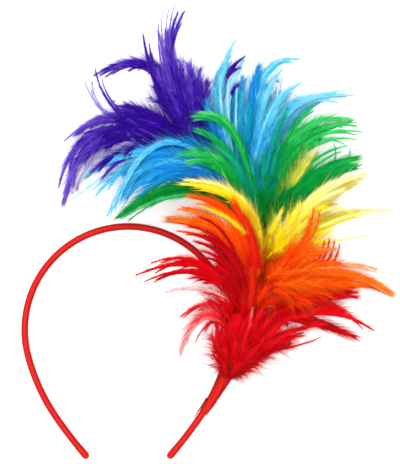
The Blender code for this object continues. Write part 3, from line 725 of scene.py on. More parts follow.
class Stem:
    """The stem's path, read by share of its length."""

    def __init__(self):
        knots = []
        for row in TAIL_POINTS:
            centre, outward = band_place(row.distance)
            place = centre + outward * row.offset
            knots.append(Vector((place.x, place.y, row.z)))
        knots += [Vector(row[:3]) for row in STEM_POINTS]
        self.points = smooth_path(knots, STEM_SAMPLES_PER_SPAN)
        self.distances = [0.0]
        for first, second in zip(self.points, self.points[1:]):
            self.distances.append(self.distances[-1] + (second - first).length)

    def at(self, share):
        wanted = share * self.distances[-1]
        for number in range(len(self.points) - 1):
            if self.distances[number + 1] >= wanted:
                break
        run = self.distances[number + 1] - self.distances[number]
        part = (wanted - self.distances[number]) / run
        return self.points[number].lerp(self.points[number + 1], part)


def oval(centre, outward, middle_z, half_out, half_up, sides, ridge=None):
    """A rounded section. ridge gives how far a point stands proud, by its angle."""
    ring = []
    for number in range(sides):
        angle = math.tau * (number + 0.5) / sides
        cosine = math.cos(angle)
        sine = math.sin(angle)
        proud = ridge(angle) if ridge else 0.0
        out = math.copysign(abs(cosine) ** (2 / BAND_ROUNDING), cosine) * half_out + cosine * proud
        up = math.copysign(abs(sine) ** (2 / BAND_ROUNDING), sine) * half_up + sine * proud
        ring.append(centre + outward * out + Vector((0.0, 0.0, middle_z + up)))
    return ring


def loft(name, rings, runs):
    """A closed solid through rings, with a UV map of the run along it and the share round it."""
    shape = bmesh.new()
    cover = shape.loops.layers.uv.new(COVER_UV)
    rows = [[shape.verts.new(point) for point in ring] for ring in rings]
    count = len(rings[0])
    for place, (first, second) in enumerate(zip(rows, rows[1:])):
        for number in range(count):
            after = (number + 1) % count
            face = shape.faces.new((first[number], second[number], second[after], first[after]))
            below = place + 1
            corners = ((place, number), (below, number), (below, number + 1), (place, number + 1))
            for loop, (along, round_) in zip(face.loops, corners):
                loop[cover].uv = (runs[along], (round_ + 0.5) / count)
    for row, run in ((rows[0], runs[0]), (rows[-1], runs[-1])):
        middle = shape.verts.new(sum((vertex.co for vertex in row), Vector()) / count)
        for number in range(count):
            face = shape.faces.new((row[number], row[(number + 1) % count], middle))
            for loop, round_ in zip(face.loops, (number, number + 1, number + 0.5)):
                loop[cover].uv = (run, (round_ + 0.5) / count)
    bmesh.ops.recalc_face_normals(shape, faces=shape.faces[:])
    mesh = bpy.data.meshes.new(name)
    shape.to_mesh(mesh)
    shape.free()
    mesh.shade_smooth()
    made = bpy.data.objects.new(name, mesh)
    bpy.context.scene.collection.objects.link(made)
    return made


def finish_piece(piece, material=None, replaced=None):
    """Gives a finished piece its material and its body, and hides the CAD solid that it replaces."""
    if material is not None:
        piece.data.materials.clear()
        piece.data.materials.append(material)
    if not piece.data.polygons:
        raise RuntimeError(f"{piece.name} has no faces")
    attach(piece, "root")
    if replaced:
        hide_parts(replaced)


def new_shader(name):
    """A new material's graph and its Principled shader."""
    material = bpy.data.materials.new(name)
    material.use_nodes = True
    graph = Graph(material.node_tree)
    shader = graph.node("ShaderNodeBsdfPrincipled")
    graph.node("ShaderNodeOutputMaterial", None, {"Surface": Wire(graph, shader.outputs[0])})
    return material, graph, shader


def link(graph, wire, shader, socket):
    graph.tree.links.new(wire.socket, shader.inputs[socket])


def satin_material(name, colour, shade_colour, weave, look):
    """Satin: long soft pulls, fine crosswise ribs, and painted shade on its sides and where its pulls and
    folds lie.
    """
    material, graph, shader = new_shader(name)
    uv = graph.wire("ShaderNodeUVMap", {"uv_map": COVER_UV})
    parts = graph.node("ShaderNodeSeparateXYZ", None, {0: uv})
    run = Wire(graph, parts.outputs[0])
    around = Wire(graph, parts.outputs[1])
    angle = around * math.tau
    cosine = angle.maths("COSINE")
    side = cosine.maths("ABSOLUTE") ** look.edge
    pulls_at = graph.xyz(run * PULLS_RUN, cosine * PULLS_ROUND, angle.maths("SINE") * PULLS_ROUND)
    pulls = graph.wire("ShaderNodeTexNoise", None, {"Vector": pulls_at, "Scale": 1.6, "Detail": 3.0})
    ribs = ((run + around * look.slant) * (math.tau / weave)).maths("SINE") * 0.5 + 0.5
    floats = (angle * FLOATS_ROUND).maths("SINE") * 0.5 + 0.5
    # Painted shade: darker towards the sides of the section, and darker where the pulls and folds lie.
    painted_shade = (side * SATIN_SIDE_SHADE - SATIN_SIDE_START + (pulls - 0.5) * look.folds).clamped()
    link(graph, graph.mix_colours(painted_shade, colour, shade_colour), shader, "Base Color")
    link(graph, 0.30 + pulls * 0.22 + ribs * 0.05, shader, "Roughness")
    height = ribs * 0.6 + floats * 0.3 + pulls * 1.2
    values = {"Strength": 0.55, "Distance": SATIN_DEPTH, "Height": height}
    link(graph, graph.wire("ShaderNodeBump", None, values), shader, "Normal")
    shader.inputs["Specular IOR Level"].default_value = SATIN_SHEEN
    return material


def quill_material(colour, shade_colour):
    """A dyed quill: lengthwise fibres and a waxy surface."""
    material, graph, shader = new_shader("dyed quill")
    at = graph.wire("ShaderNodeTexCoord", output=3)
    stretched = graph.vector("MULTIPLY", at, QUILL_FIBRES)
    fibres = graph.wire("ShaderNodeTexNoise", None, {"Vector": stretched, "Scale": 1.0, "Detail": 4.0})
    patches = graph.wire("ShaderNodeTexNoise", None, {"Vector": at, "Scale": QUILL_PATCHES, "Detail": 2.0})
    mixed = (fibres * 0.7 + patches * 0.5 - 0.1).clamped()
    link(graph, graph.mix_colours(mixed, shade_colour, colour), shader, "Base Color")
    link(graph, 0.35 + fibres * 0.3, shader, "Roughness")
    values = {"Strength": 0.4, "Distance": QUILL_DEPTH, "Height": fibres}
    link(graph, graph.wire("ShaderNodeBump", None, values), shader, "Normal")
    return material


def feather_material(name, deep, main, light, neighbour):
    """Dyed feather: painted shade by the shaft and root, painted light at thin edges and tips, each barb a
    little off.
    """
    material, graph, shader = new_shader(name)

    def stored(attribute):
        return graph.wire("ShaderNodeAttribute", {"attribute_name": attribute}, output=2)

    at = graph.wire("ShaderNodeTexCoord", output=3)
    cloud = graph.wire("ShaderNodeTexNoise", None, {"Vector": at, "Scale": CLOUD_SCALE, "Detail": 2.0})
    along = stored("along")
    outward = stored("outward")
    run = stored("run")
    number = stored("number") * NUMBER_OFFSET

    def bands(pitch, salt):
        values = {"Vector": graph.xyz(run * pitch, number, salt), "Scale": 1.0}
        return graph.wire("ShaderNodeTexNoise", None, values)

    clumps = bands(CLUMPS_RUN, 0.0)
    fine = bands(FINE_RUN, 5.0)
    # Painted shade and light: along the feather and out along each barb, the tone goes from deep by the root
    # and shaft to pale at the tips and barb ends.
    tone = TONE_START + stored("tone") * TONE_OF_ROW + along * TONE_ALONG + outward * TONE_OUTWARD
    tone = tone + stored("streak") * TONE_STREAK + (cloud - 0.5) * TONE_CLOUD
    tone = (tone + (clumps - 0.5) * TONE_CLUMPS + (fine - 0.5) * TONE_FINE).clamped()
    # The palest stop whitens the light colour, as painted light in thin fringes.
    pale = [value * 0.35 + 0.55 for value in light]
    stops = tuple(zip(DYE_PLACES, (deep, main, light, pale)))
    ramp = graph.wire("ShaderNodeValToRGB", {"stops": stops}, {0: tone})
    tint = (stored("tint") * (1.25 - along * 0.5)).clamped()
    link(graph, graph.mix_colours(tint, ramp, neighbour), shader, "Base Color")
    link(graph, 0.62 - outward * 0.12 + (cloud - 0.5) * 0.2, shader, "Roughness")
    shader.inputs["Specular IOR Level"].default_value = FEATHER_SHEEN
    return material


def band_ring(distance, half_thickness, half_width):
    centre, outward = band_place(distance)
    to_end = BAND_HALF_LENGTH - abs(distance)
    flare = TIP_FLARE * smooth_step(1 - to_end / TIP_FLARE_LENGTH)
    left = 1 - min(to_end / TIP_ROUND_LENGTH, 1.0)
    share = math.sqrt(1 - TIP_ROUND_DEPTH * left * left)
    into = smooth_step((distance - BOUND_START) / DRAWN_IN_RAMP + 1)
    out = smooth_step((BOUND_END - distance) / DRAWN_IN_RAMP + 1)
    inset = DRAWN_IN * min(into, out)
    half_out = (half_thickness + flare) * share - DRAWN_IN_ACROSS * inset
    return oval(centre, outward, half_width, half_out, half_width * share - inset, BAND_SIDES)


def band_distances():
    count = math.ceil((BAND_HALF_LENGTH - TIP_ROUND_LENGTH) / BAND_STEP)
    step = (BAND_HALF_LENGTH - TIP_ROUND_LENGTH) / count
    half = [number * step for number in range(count + 1)]
    half += [BAND_HALF_LENGTH - TIP_ROUND_LENGTH * left for left in (0.7, 0.45, 0.25, 0.1, 0.0)]
    return [-distance for distance in reversed(half[1:])] + half


def binding_rings(ridge):
    """The wrap's sections: each turn of the ribbon stands a little proud of the one before."""
    knots = [Vector(row) for row in BINDING_RINGS]
    rings = []
    runs = []
    for distance, inner, outer, height in smooth_path(knots, BINDING_SAMPLES_PER_SPAN):
        centre, outward = band_place(distance)

        def proud(angle):
            turns = (distance - BOUND_START) / BINDING_TURN + angle / math.tau
            return ridge * (turns % 1.0 - 0.5)

        middle = centre + outward * ((outer - inner) / 2)
        half_out = (outer + inner) / 2
        rings.append(oval(middle, outward, height / 2, half_out, height / 2, BINDING_SIDES, proud))
        runs.append(distance)
    lowest = min(point.z for ring in rings for point in ring)
    for ring in rings:
        for point in ring:
            point.z -= min(lowest, 0.0)
    return rings, runs


def tube_rings(points, sides):
    """Round sections along points that also give a radius."""
    rings = []
    runs = [0.0]
    for number, point in enumerate(points):
        before = points[max(number - 1, 0)]
        after = points[min(number + 1, len(points) - 1)]
        along = Vector(after[:3]) - Vector(before[:3])
        across = along.cross(UP).normalized()
        up = across.cross(along).normalized()
        centre = Vector(point[:3])
        if number:
            runs.append(runs[-1] + (centre - Vector(points[number - 1][:3])).length)
        ring = []
        for side in range(sides):
            angle = math.tau * side / sides
            ring.append(centre + (across * math.cos(angle) + up * math.sin(angle)) * point[3])
        rings.append(ring)
    return rings, runs


def on_grid(column, row):
    """A place in plan, from the grid that the tables of feathers use."""
    return Vector((column - GRID_CENTRE.x, GRID_CENTRE.y - row)) * GRID


def vane_half_width(share, width):
    """A feather's half width at a share of its length: slim at the root, full past the middle, pointed."""
    return width / 2 * math.sin(math.pi * min(share, 1.0) ** VANE_ROOT_POWER) ** VANE_TIP_POWER


def guide(row, root, lane_z, jitter):
    """Points of a feather's line: each one's share of the length, run from the root, place and heading."""
    via = on_grid(row.via_x, row.via_y)
    tip = on_grid(row.tip_x, row.tip_y)
    start = root.to_2d()
    middle = via * 2 - (start + tip) / 2
    chords = (via - start).length + (tip - via).length
    last = 1 - min(TIP_CLEARANCE / chords, 0.5)
    root_z = root.z + math.copysign(ROOT_OFFSET, lane_z - root.z)
    before = start
    run = 0.0
    for step in range(GUIDE_POINTS):
        t = last * step / (GUIDE_POINTS - 1)
        plan = start * (1 - t) ** 2 + middle * (2 * t * (1 - t)) + tip * t ** 2
        along = ((middle - start) * (1 - t) + (tip - middle) * t).normalized()
        run += (plan - before).length
        before = plan
        settle = smooth_step(run / row.kind.settle)
        height = root_z + (lane_z - root_z) * settle + row.rise * MM * t ** 3 + jitter * settle
        yield t, run, Vector((plan.x, plan.y, height)), along


class Plume:
    """Collects one tier's feathers: shaft lines that say what their barbs need, and the vane about each."""

    NAMES = (
        "part", "along", "outward", "run", "reach", "angle",
        "stray", "tone", "tint", "thick", "number", "fine",
    )

    def __init__(self, seed):
        self.random = random.Random(seed)
        self.points = []
        self.edges = []
        self.faces = []
        self.values = {name: [] for name in self.NAMES}
        self.facings = []
        self.count = 0

    def put(self, point, facing, **values):
        self.points.append(point)
        self.facings.extend(facing)
        for name in self.NAMES:
            self.values[name].append(values.get(name, 0.0))
        return len(self.points) - 1

    def add(self, row, root, lane_z, jitter, roll):
        """One feather from a root on the stem to its tip."""
        kind = row.kind
        shaft = None
        ring = None
        for t, run, place, along in guide(row, root, lane_z, jitter):
            turn = roll * (1 - UNROLL * t)
            across = Vector((-along.y, along.x, 0.0))
            facing = across * math.sin(turn) + UP * math.cos(turn)
            flat = across * math.cos(turn) - UP * math.sin(turn)
            angle = math.radians(kind.root_angle + (kind.tip_angle - kind.root_angle) * t)
            half_width = vane_half_width(t, row.width * MM)
            reach = min(max(half_width / math.sin(angle), MIN_REACH), MAX_REACH)
            thick = SHAFT_ROOT * (1 - t) + SHAFT_TIP * t
            values = {"along": t, "run": run, "tone": row.tone, "tint": row.tint, "number": self.count}
            barbs = {"reach": reach, "angle": angle, "stray": kind.stray, "fine": kind.thickness}
            point = self.put(place, facing, thick=thick, **barbs, **values)
            if shaft is not None:
                self.edges.append((shaft, point))
            shaft = point
            before = ring
            vane = half_width * kind.vane
            ring = self.vane_ring(place, flat, facing, vane, thick, math.tan(angle), values)
            self.faces += self.sides(before, ring) if before else [ring]
        self.faces.append(ring)
        self.count += 1

    def vane_ring(self, place, flat, facing, half_width, thick, slope, values):
        """The vane's section at a point of the shaft: a rim on each side, and a ridge above and below."""
        run = values["run"]
        ring = []
        for side, rise in ((1, 0), (0, 1), (-1, 0), (0, -1)):
            at = (run * RAG_SCALES[0], self.count * RAG_SCALES[1], side * RAG_SCALES[2])
            rag = RAG_MEAN + RAG_SPREAD * noise.noise(Vector(at))
            rim = max(half_width * rag, thick) * abs(side)
            where = place + flat * (rim * side) - facing * (rim * VANE_DROP) + facing * (VANE_DEPTH * rise)
            values = {**values, "run": run - rim / slope}
            ring.append(self.put(where, facing, part=1.0, outward=RIM_OUTWARD * abs(side), **values))
        return ring

    def sides(self, before, ring):
        """The faces between two sections."""
        pairs = [(number, (number + 1) % len(ring)) for number in range(len(ring))]
        return [(before[number], before[after], ring[after], ring[number]) for number, after in pairs]

    def mesh(self, name):
        mesh = bpy.data.meshes.new(name)
        mesh.from_pydata(self.points, self.edges, self.faces)
        for attribute, values in self.values.items():
            layer = mesh.attributes.new(attribute, "FLOAT", "POINT")
            layer.data.foreach_set("value", values)
        layer = mesh.attributes.new("facing", "FLOAT_VECTOR", "POINT")
        layer.data.foreach_set("vector", self.facings)
        shape = bmesh.new()
        shape.from_mesh(mesh)
        bmesh.ops.recalc_face_normals(shape, faces=shape.faces[:])
        shape.to_mesh(mesh)
        shape.free()
        return mesh


def shifted(row, chance, stray):
    """A copy of a row that strays from it."""
    trim = chance.uniform(*stray.trim)
    tone = chance.uniform(*stray.tone)
    near = stray.spread * VIA_STRAY
    via = Vector((row.via_x + chance.gauss(0, near), row.via_y + chance.gauss(0, near)))
    far = stray.spread
    tip = Vector((row.tip_x + chance.gauss(0, far), row.tip_y + chance.gauss(0, far)))
    tip = via.lerp(tip, trim)
    return row._replace(
        via_x=via.x, via_y=via.y, tip_x=tip.x, tip_y=tip.y,
        width=row.width * chance.uniform(*COPY_WIDTHS), tone=row.tone + tone,
    )


def between(first, second, share):
    """A row between two rows that stand next to each other."""
    pairs = zip(first[:BLENDED_FIELDS], second[:BLENDED_FIELDS])
    return Feather(*(a + (b - a) * share for a, b in pairs), SOFT, first.tint)


def gather_feathers(tier, stem, settings):
    """A tier's rows, their near copies, the same again under the stem, and short feathers between them."""
    plume = Plume(f"{tier.name} {settings.seed}")
    rows = [Feather(*row) for row in tier.rows]
    chance = plume.random

    def grow(row, side, jitter, roll):
        root = stem.at(row.root + chance.uniform(-ROOT_STRAY, ROOT_STRAY))
        plume.add(row, root, PLUME_Z + side * tier.lane, jitter, math.radians(chance.uniform(-roll, roll)))

    for row in rows:
        grow(row, row.side, 0.0, ROW_ROLL)
        for _ in range(round(row.kind.copies * settings.fullness)):
            near = shifted(row, chance, NEAR)
            grow(near, row.side, chance.uniform(*NEAR_HEIGHTS) * row.side, NEAR.roll)
        if row.side > 0 and row.kind is not WISP and chance.random() < settings.underside:
            under = shifted(row, chance, UNDER)
            under = under._replace(rise=min(row.rise, 0.0) * UNDER_RISE)
            grow(under, -1, chance.uniform(*UNDER_HEIGHTS), UNDER.roll)
    for _ in range(round(settings.filling * len(rows))):
        place = chance.randrange(len(rows) - 1)
        filler = between(rows[place], rows[place + 1], chance.random())
        filler = shifted(filler, chance, FILLER)
        filler = filler._replace(rise=filler.rise * FILLER_RISE)
        grow(filler, chance.uniform(*FILLER_SIDES), 0.0, FILLER.roll)
    return plume


class BarbGraph(Graph):
    """Geometry nodes that grow a shaft and two rows of barbs along each feather's line."""

    FLOATS = ("Barb Spacing", "Barb Width", "Barb Lean", "Clump Length", "Long Hairs")

    def __init__(self):
        tree = bpy.data.node_groups.new("feather barbs", "GeometryNodeTree")
        inputs = [("Geometry", "Geometry"), *((name, "Float") for name in self.FLOATS)]
        inputs += [("Seed", "Int"), ("Material", "Material")]
        tree.interface.new_socket("Geometry", in_out="OUTPUT", socket_type="NodeSocketGeometry")
        for name, kind in inputs:
            tree.interface.new_socket(name, in_out="INPUT", socket_type=f"NodeSocket{kind}")
        super().__init__(tree)
        self.entry = self.node("NodeGroupInput")

    def given(self, name):
        return Wire(self, self.entry.outputs[name])

    def stored(self, name, kind="FLOAT"):
        return self.wire("GeometryNodeInputNamedAttribute", {"data_type": kind}, {"Name": name})

    def store(self, geometry, name, value, kind="FLOAT"):
        settings = {"data_type": kind, "domain": "POINT"}
        values = {"Geometry": geometry, "Name": name, "Value": value}
        return self.wire("GeometryNodeStoreNamedAttribute", settings, values)

    def chance(self, low, high, salt):
        """A random number for each barb. salt tells one such draw from another."""
        values = {2: low, 3: high, "Seed": self.given("Seed") + salt}
        return self.wire("FunctionNodeRandomValue", {"data_type": "FLOAT"}, values, 1)

    def clump(self, side, salt):
        """A number around 0 that barbs next to each other nearly share."""
        run = self.stored("run").maths("DIVIDE", self.given("Clump Length"))
        at = self.xyz(run, self.stored("number") * NUMBER_STEP, side * SIDE_STEP + salt)
        return self.wire("ShaderNodeTexNoise", None, {"Vector": at, "Scale": 1.0, "Detail": 1.0}) - 0.5

    def part_of_place(self, axis):
        parts = self.node("ShaderNodeSeparateXYZ", None, {0: self.wire("GeometryNodeInputPosition")})
        return Wire(self, parts.outputs[axis])

    def joined(self, *geometries):
        join = self.node("GeometryNodeJoinGeometry")
        for geometry in geometries:
            self.tree.links.new(geometry.socket, join.inputs[0])
        return Wire(self, join.outputs[0])

    def needle(self, segments):
        """A three-sided cone along X, with its flat side up."""
        values = {"Vertices": 3, "Side Segments": segments, "Depth": 1.0}
        values |= {"Radius Top": 0.0, "Radius Bottom": 1.0}
        cone = self.wire("GeometryNodeMeshCone", {"fill_type": "NGON"}, values)
        values = {"Geometry": cone, "Rotation": (0.0, math.pi / 2, 0.0)}
        cone = self.wire("GeometryNodeTransform", None, values)
        return self.store(cone, "outward", self.part_of_place(0))

    def shafts(self, lines):
        triangle = self.wire("GeometryNodeCurvePrimitiveCircle", None, {"Resolution": 3, "Radius": 1.0})
        thick = self.stored("thick")
        values = {"Curve": lines, "Profile Curve": triangle, "Scale": thick, "Fill Caps": True}
        return self.wire("GeometryNodeCurveToMesh", None, values)

    def barb_points(self, lines):
        """Two points at every step along the shafts, and the side, 1 or -1, that each one's barb takes."""
        values = {"Curve": lines, "Length": self.given("Barb Spacing")}
        dotted = self.node("GeometryNodeCurveToPoints", {"mode": "LENGTH"}, values)
        points = Wire(self, dotted.outputs["Points"])
        points = self.store(points, "heading", Wire(self, dotted.outputs["Tangent"]), "FLOAT_VECTOR")
        values = {"Geometry": points, "Amount": 2}
        doubled = self.node("GeometryNodeDuplicateElements", {"domain": "POINT"}, values)
        side = Wire(self, doubled.outputs["Duplicate Index"]) * 2 - 1
        return Wire(self, doubled.outputs["Geometry"]), side

    def barb_rotation(self, side, heading, across, normal, loose):
        """Turns a needle from the shaft's heading out to its side, with clumps and a drop."""
        spread = self.stored("stray")
        angle = self.stored("angle") + self.clump(side, 0.0) * spread * CLUMP_TURN
        angle = angle + self.chance(-1.0, 1.0, 1) * spread * LONE_TURN
        sine = angle.maths("SINE")
        lift = self.chance(-1.0, 1.0, 3) * LONE_LIFT + self.clump(side, 23.0) * CLUMP_LIFT
        lift = lift * loose - sine * VANE_DROP
        forward = self.scaled(heading, angle.maths("COSINE"))
        direction = self.vector("ADD", forward, self.scaled(across, sine * side))
        direction = self.vector("ADD", direction, self.scaled(normal, lift))
        values = {"Primary Axis": self.vector("NORMALIZE", direction), "Secondary Axis": normal}
        settings = {"primary_axis": "X", "secondary_axis": "Z"}
        return self.wire("FunctionNodeAxesToRotation", settings, values)

    def barbs(self, lines):
        """Needles along both sides of the shafts, bent towards the tip."""
        points, side = self.barb_points(lines)
        heading = self.stored("heading", "FLOAT_VECTOR")
        across = self.vector("CROSS_PRODUCT", self.stored("facing", "FLOAT_VECTOR"), heading)
        across = self.vector("NORMALIZE", across)
        normal = self.vector("CROSS_PRODUCT", heading, across)
        spread = self.stored("stray")
        loose = LEAST_LOOSE + spread * STRAY_LOOSE
        rotation = self.barb_rotation(side, heading, across, normal, loose)
        hairs = self.chance(0.0, 1.0, 2) ** HAIR_RARITY * self.given("Long Hairs")
        hairs = hairs * (LEAST_HAIRS + spread * STRAY_HAIRS)
        reach = self.stored("reach") * (MEAN_REACH + self.clump(side, 11.0) * CLUMP_REACH + hairs)
        thick = LEAST_THICK + self.chance(0.0, MORE_THICK, 4)
        width = self.given("Barb Width") * self.stored("fine") * thick
        lean = self.scaled(heading, reach * self.given("Barb Lean"))
        bend = self.scaled(normal, reach * self.clump(side, 37.0) * loose * CLUMP_BEND)
        lean = self.vector("ADD", lean, bend)
        curl = self.clump(side, 53.0) * spread * CLUMP_CURL
        lean = self.vector("ADD", lean, self.scaled(across, reach * curl))
        points = self.store(points, "lean", lean, "FLOAT_VECTOR")
        streak = self.clump(side, 71.0) * CLUMP_STREAK + self.chance(-LONE_STREAK, LONE_STREAK, 5)
        points = self.store(points, "streak", streak)
        shown = self.stored("along").maths("GREATER_THAN", FIRST_BARB)
        curly = spread.maths("GREATER_THAN", CURLY_STRAY)
        grown = []
        for segments, chosen in ((1, shown * (1 - curly)), (2, shown * curly)):
            values = {
                "Points": points, "Selection": chosen, "Instance": self.needle(segments),
                "Rotation": rotation, "Scale": self.xyz(reach, width, width * NEEDLE_FLATNESS),
            }
            grown.append(self.wire("GeometryNodeInstanceOnPoints", None, values))
        barbs = self.wire("GeometryNodeRealizeInstances", None, {"Geometry": self.joined(*grown)})
        outward = self.stored("outward")
        offset = self.scaled(self.stored("lean", "FLOAT_VECTOR"), outward * outward)
        return self.wire("GeometryNodeSetPosition", None, {"Geometry": barbs, "Offset": offset})

    def within_heights(self, geometry):
        """Keeps every point above the table and under the plume's top."""
        height = self.part_of_place(2)
        kept = height.maths("MAXIMUM", TABLE_CLEARANCE).maths("MINIMUM", PLUME_TOP)
        values = {"Geometry": geometry, "Offset": self.xyz(0.0, 0.0, kept - height)}
        return self.wire("GeometryNodeSetPosition", None, values)

    def build(self):
        """Parts the vanes from the shaft lines, grows shafts and barbs on the lines, and joins them all."""
        of_vane = self.stored("part").maths("GREATER_THAN", 0.5)
        values = {"Geometry": self.given("Geometry"), "Selection": of_vane}
        parts = self.node("GeometryNodeSeparateGeometry", {"domain": "POINT"}, values)
        vanes = Wire(self, parts.outputs["Selection"])
        lines = self.wire("GeometryNodeMeshToCurve", None, {"Mesh": Wire(self, parts.outputs["Inverted"])})
        whole = self.within_heights(self.joined(self.barbs(lines), self.shafts(lines), vanes))
        whole = self.wire("GeometryNodeSetShadeSmooth", None, {"Geometry": whole})
        whole = self.wire("GeometryNodeRealizeInstances", None, {"Geometry": whole})
        values = {"Geometry": whole, "Material": self.given("Material")}
        whole = self.wire("GeometryNodeSetMaterial", None, values)
        self.node("NodeGroupOutput", None, {"Geometry": whole})
        return self.tree


def grow_feathers(name, mesh, tree, inputs):
    """Runs the tree on the shaft lines and keeps the result as a plain mesh."""
    piece = bpy.data.objects.new(name, mesh)
    bpy.context.scene.collection.objects.link(piece)
    modifier = piece.modifiers.new("barbs", "NODES")
    modifier.node_group = tree
    for item in tree.interface.items_tree:
        if item.in_out == "INPUT" and item.name in inputs:
            modifier[item.identifier] = inputs[item.name]
    bpy.context.view_layer.update()
    depsgraph = bpy.context.evaluated_depsgraph_get()
    grown = bpy.data.meshes.new_from_object(piece.evaluated_get(depsgraph))
    piece.modifiers.clear()
    piece.data = grown
    normals = []
    for vertex, stored in zip(grown.vertices, grown.attributes["facing"].data):
        facing = stored.vector.copy()
        if vertex.normal.dot(facing) < FACED_AWAY:
            facing.negate()
        normals.append(vertex.normal.lerp(facing, SILK).normalized())
    grown.normals_split_custom_set_from_vertices(normals)
    names = [item.name for item in grown.attributes if not item.name.startswith(".")]
    for spare in set(names) - KEPT_ATTRIBUTES:
        grown.attributes.remove(grown.attributes[spare])
    grown.name = name
    return piece


def tint(name, description, default):
    return FloatVectorProperty(
        name=name, description=description, default=default, subtype="COLOR", min=0.0, max=1.0,
    )


def dye(name, default):
    return tint(name, f"{name} of the dyed barbs", default)


def amount(name, description, default):
    return FloatProperty(name=name, description=description, default=default, min=0.0)


def length(name, description, default):
    return FloatProperty(
        name=name, description=description, default=default, min=0.0, subtype="DISTANCE", unit="LENGTH",
    )


class FascinatorBandSettings(bpy.types.PropertyGroup):
    """The headband and its binding."""

    half_thickness: length("Half Thickness", "Half the band's thickness in plan", BAND_HALF_THICKNESS)
    half_width: length("Half Width", "Half the band's width", BAND_HALF_WIDTH)
    weave: length("Rib Pitch", "Distance between the satin's crosswise ribs", 0.00045)
    ridge: length("Wrap Ridge", "How far each turn of the binding stands proud", BINDING_RIDGE)
    satin: tint("Satin", "Colour of the satin", (0.700, 0.011, 0.006))
    # Satin Shade is the colour of the painted shade on the satin's sides and folds. The quill's darker
    # fibres use it too.
    satin_shade: tint("Satin Shade", "Colour of the satin on its sides", (0.230, 0.001, 0.001))
    quill: tint("Quill", "Colour of the stem", (0.420, 0.012, 0.010))


class FascinatorPlumeSettings(bpy.types.PropertyGroup):
    """The feathers."""

    spacing: length("Barb Spacing", "Distance between barbs along a shaft", 0.00052)
    barb_width: length("Barb Width", "Half width of a barb at the shaft", 0.00014)
    lean: amount("Barb Lean", "How far barbs bend towards the tip, by length", 0.22)
    clump: length("Clump Length", "Length of shaft whose barbs cling together", 0.0042)
    hairs: amount("Long Hairs", "How far the longest barbs stand out, by length", 1.6)
    fullness: amount("Fullness", "Near copies of each feather", 0.5)
    underside: amount("Underside", "Share of the feathers that are found below too", 0.45)
    filling: amount("Filling", "Short feathers between the long ones, for each long one", 0.45)
    seed: IntProperty(name="Seed", description="Chooses how the feathers stray", default=3, min=0)
    # Each colour's deep and light stops are the dye's own colours. They also carry the painted shade at
    # roots and shafts and the painted light at tips and barb ends.
    violet_deep: dye("Violet Deep", (0.004, 0.000, 0.085))
    violet_main: dye("Violet", (0.030, 0.001, 0.290))
    violet_light: dye("Violet Light", (0.170, 0.080, 0.640))
    blue_deep: dye("Blue Deep", (0.000, 0.085, 0.430))
    blue_main: dye("Blue", (0.006, 0.270, 0.680))
    blue_light: dye("Blue Light", (0.130, 0.640, 0.900))
    green_deep: dye("Green Deep", (0.000, 0.130, 0.008))
    green_main: dye("Green", (0.000, 0.290, 0.040))
    green_light: dye("Green Light", (0.040, 0.620, 0.130))
    yellow_deep: dye("Yellow Deep", (0.920, 0.560, 0.000))
    yellow_main: dye("Yellow", (0.960, 0.720, 0.000))
    yellow_light: dye("Yellow Light", (0.980, 0.880, 0.200))
    orange_deep: dye("Orange Deep", (0.900, 0.045, 0.000))
    orange_main: dye("Orange", (0.960, 0.070, 0.000))
    orange_light: dye("Orange Light", (0.970, 0.230, 0.010))
    red_deep: dye("Red Deep", (0.380, 0.000, 0.003))
    red_main: dye("Red", (0.680, 0.000, 0.003))
    red_light: dye("Red Light", (0.820, 0.012, 0.025))


class FASCINATOR_OT_headband(bpy.types.Operator):
    """Covers the headband in satin"""

    bl_idname = "fascinator.headband"
    bl_label = "Satin Headband"

    def execute(self, context):
        settings = context.scene.fascinator_band
        distances = band_distances()
        halves = (settings.half_thickness, settings.half_width)
        band = loft("satin_headband", [band_ring(distance, *halves) for distance in distances], distances)
        colours = (settings.satin, settings.satin_shade)
        satin = satin_material("band satin", *colours, settings.weave, BAND_SATIN)
        finish_piece(band, satin, "headband")
        return {"FINISHED"}


class FASCINATOR_OT_binding(bpy.types.Operator):
    """Winds the satin binding and adds the quill end that pokes out of it"""

    bl_idname = "fascinator.binding"
    bl_label = "Binding and Quill"

    def execute(self, context):
        settings = context.scene.fascinator_band
        rings, runs = binding_rings(settings.ridge)
        binding = loft("satin_binding", rings, runs)
        colours = (settings.satin, settings.satin_shade)
        wrap = satin_material("binding satin", *colours, settings.weave, BINDING_SATIN)
        finish_piece(binding, wrap, "binding")
        quill = quill_material(settings.quill, settings.satin_shade)
        path = smooth_path([Vector(row) for row in QUILL_END], QUILL_SAMPLES_PER_SPAN)
        end = loft("quill_end", *tube_rings(path, QUILL_SIDES))
        finish_piece(end, quill)
        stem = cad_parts["plume_stem"]
        stem.data.materials.clear()
        stem.data.materials.append(quill)
        return {"FINISHED"}


class FASCINATOR_OT_feathers(bpy.types.Operator):
    """Grows the six tiers of dyed feathers"""

    bl_idname = "fascinator.feathers"
    bl_label = "Feathers"

    def execute(self, context):
        settings = context.scene.fascinator_plume
        stem = Stem()
        tree = BarbGraph().build()
        for number, tier in enumerate(TIERS):
            colours = [getattr(settings, f"{tier.name}_{part}") for part in ("deep", "main", "light")]
            neighbour = getattr(settings, f"{tier.neighbour}_main")
            material = feather_material(f"{tier.name} dyed feather", *colours, neighbour)
            inputs = {
                "Barb Spacing": settings.spacing, "Barb Width": settings.barb_width,
                "Barb Lean": settings.lean, "Clump Length": settings.clump, "Long Hairs": settings.hairs,
                "Seed": settings.seed * 10 + number, "Material": material,
            }
            plume = gather_feathers(tier, stem, settings)
            name = f"{tier.name}_plumes"
            piece = grow_feathers(name, plume.mesh(name), tree, inputs)
            finish_piece(piece, material, f"{tier.name}_feathers")
        return {"FINISHED"}


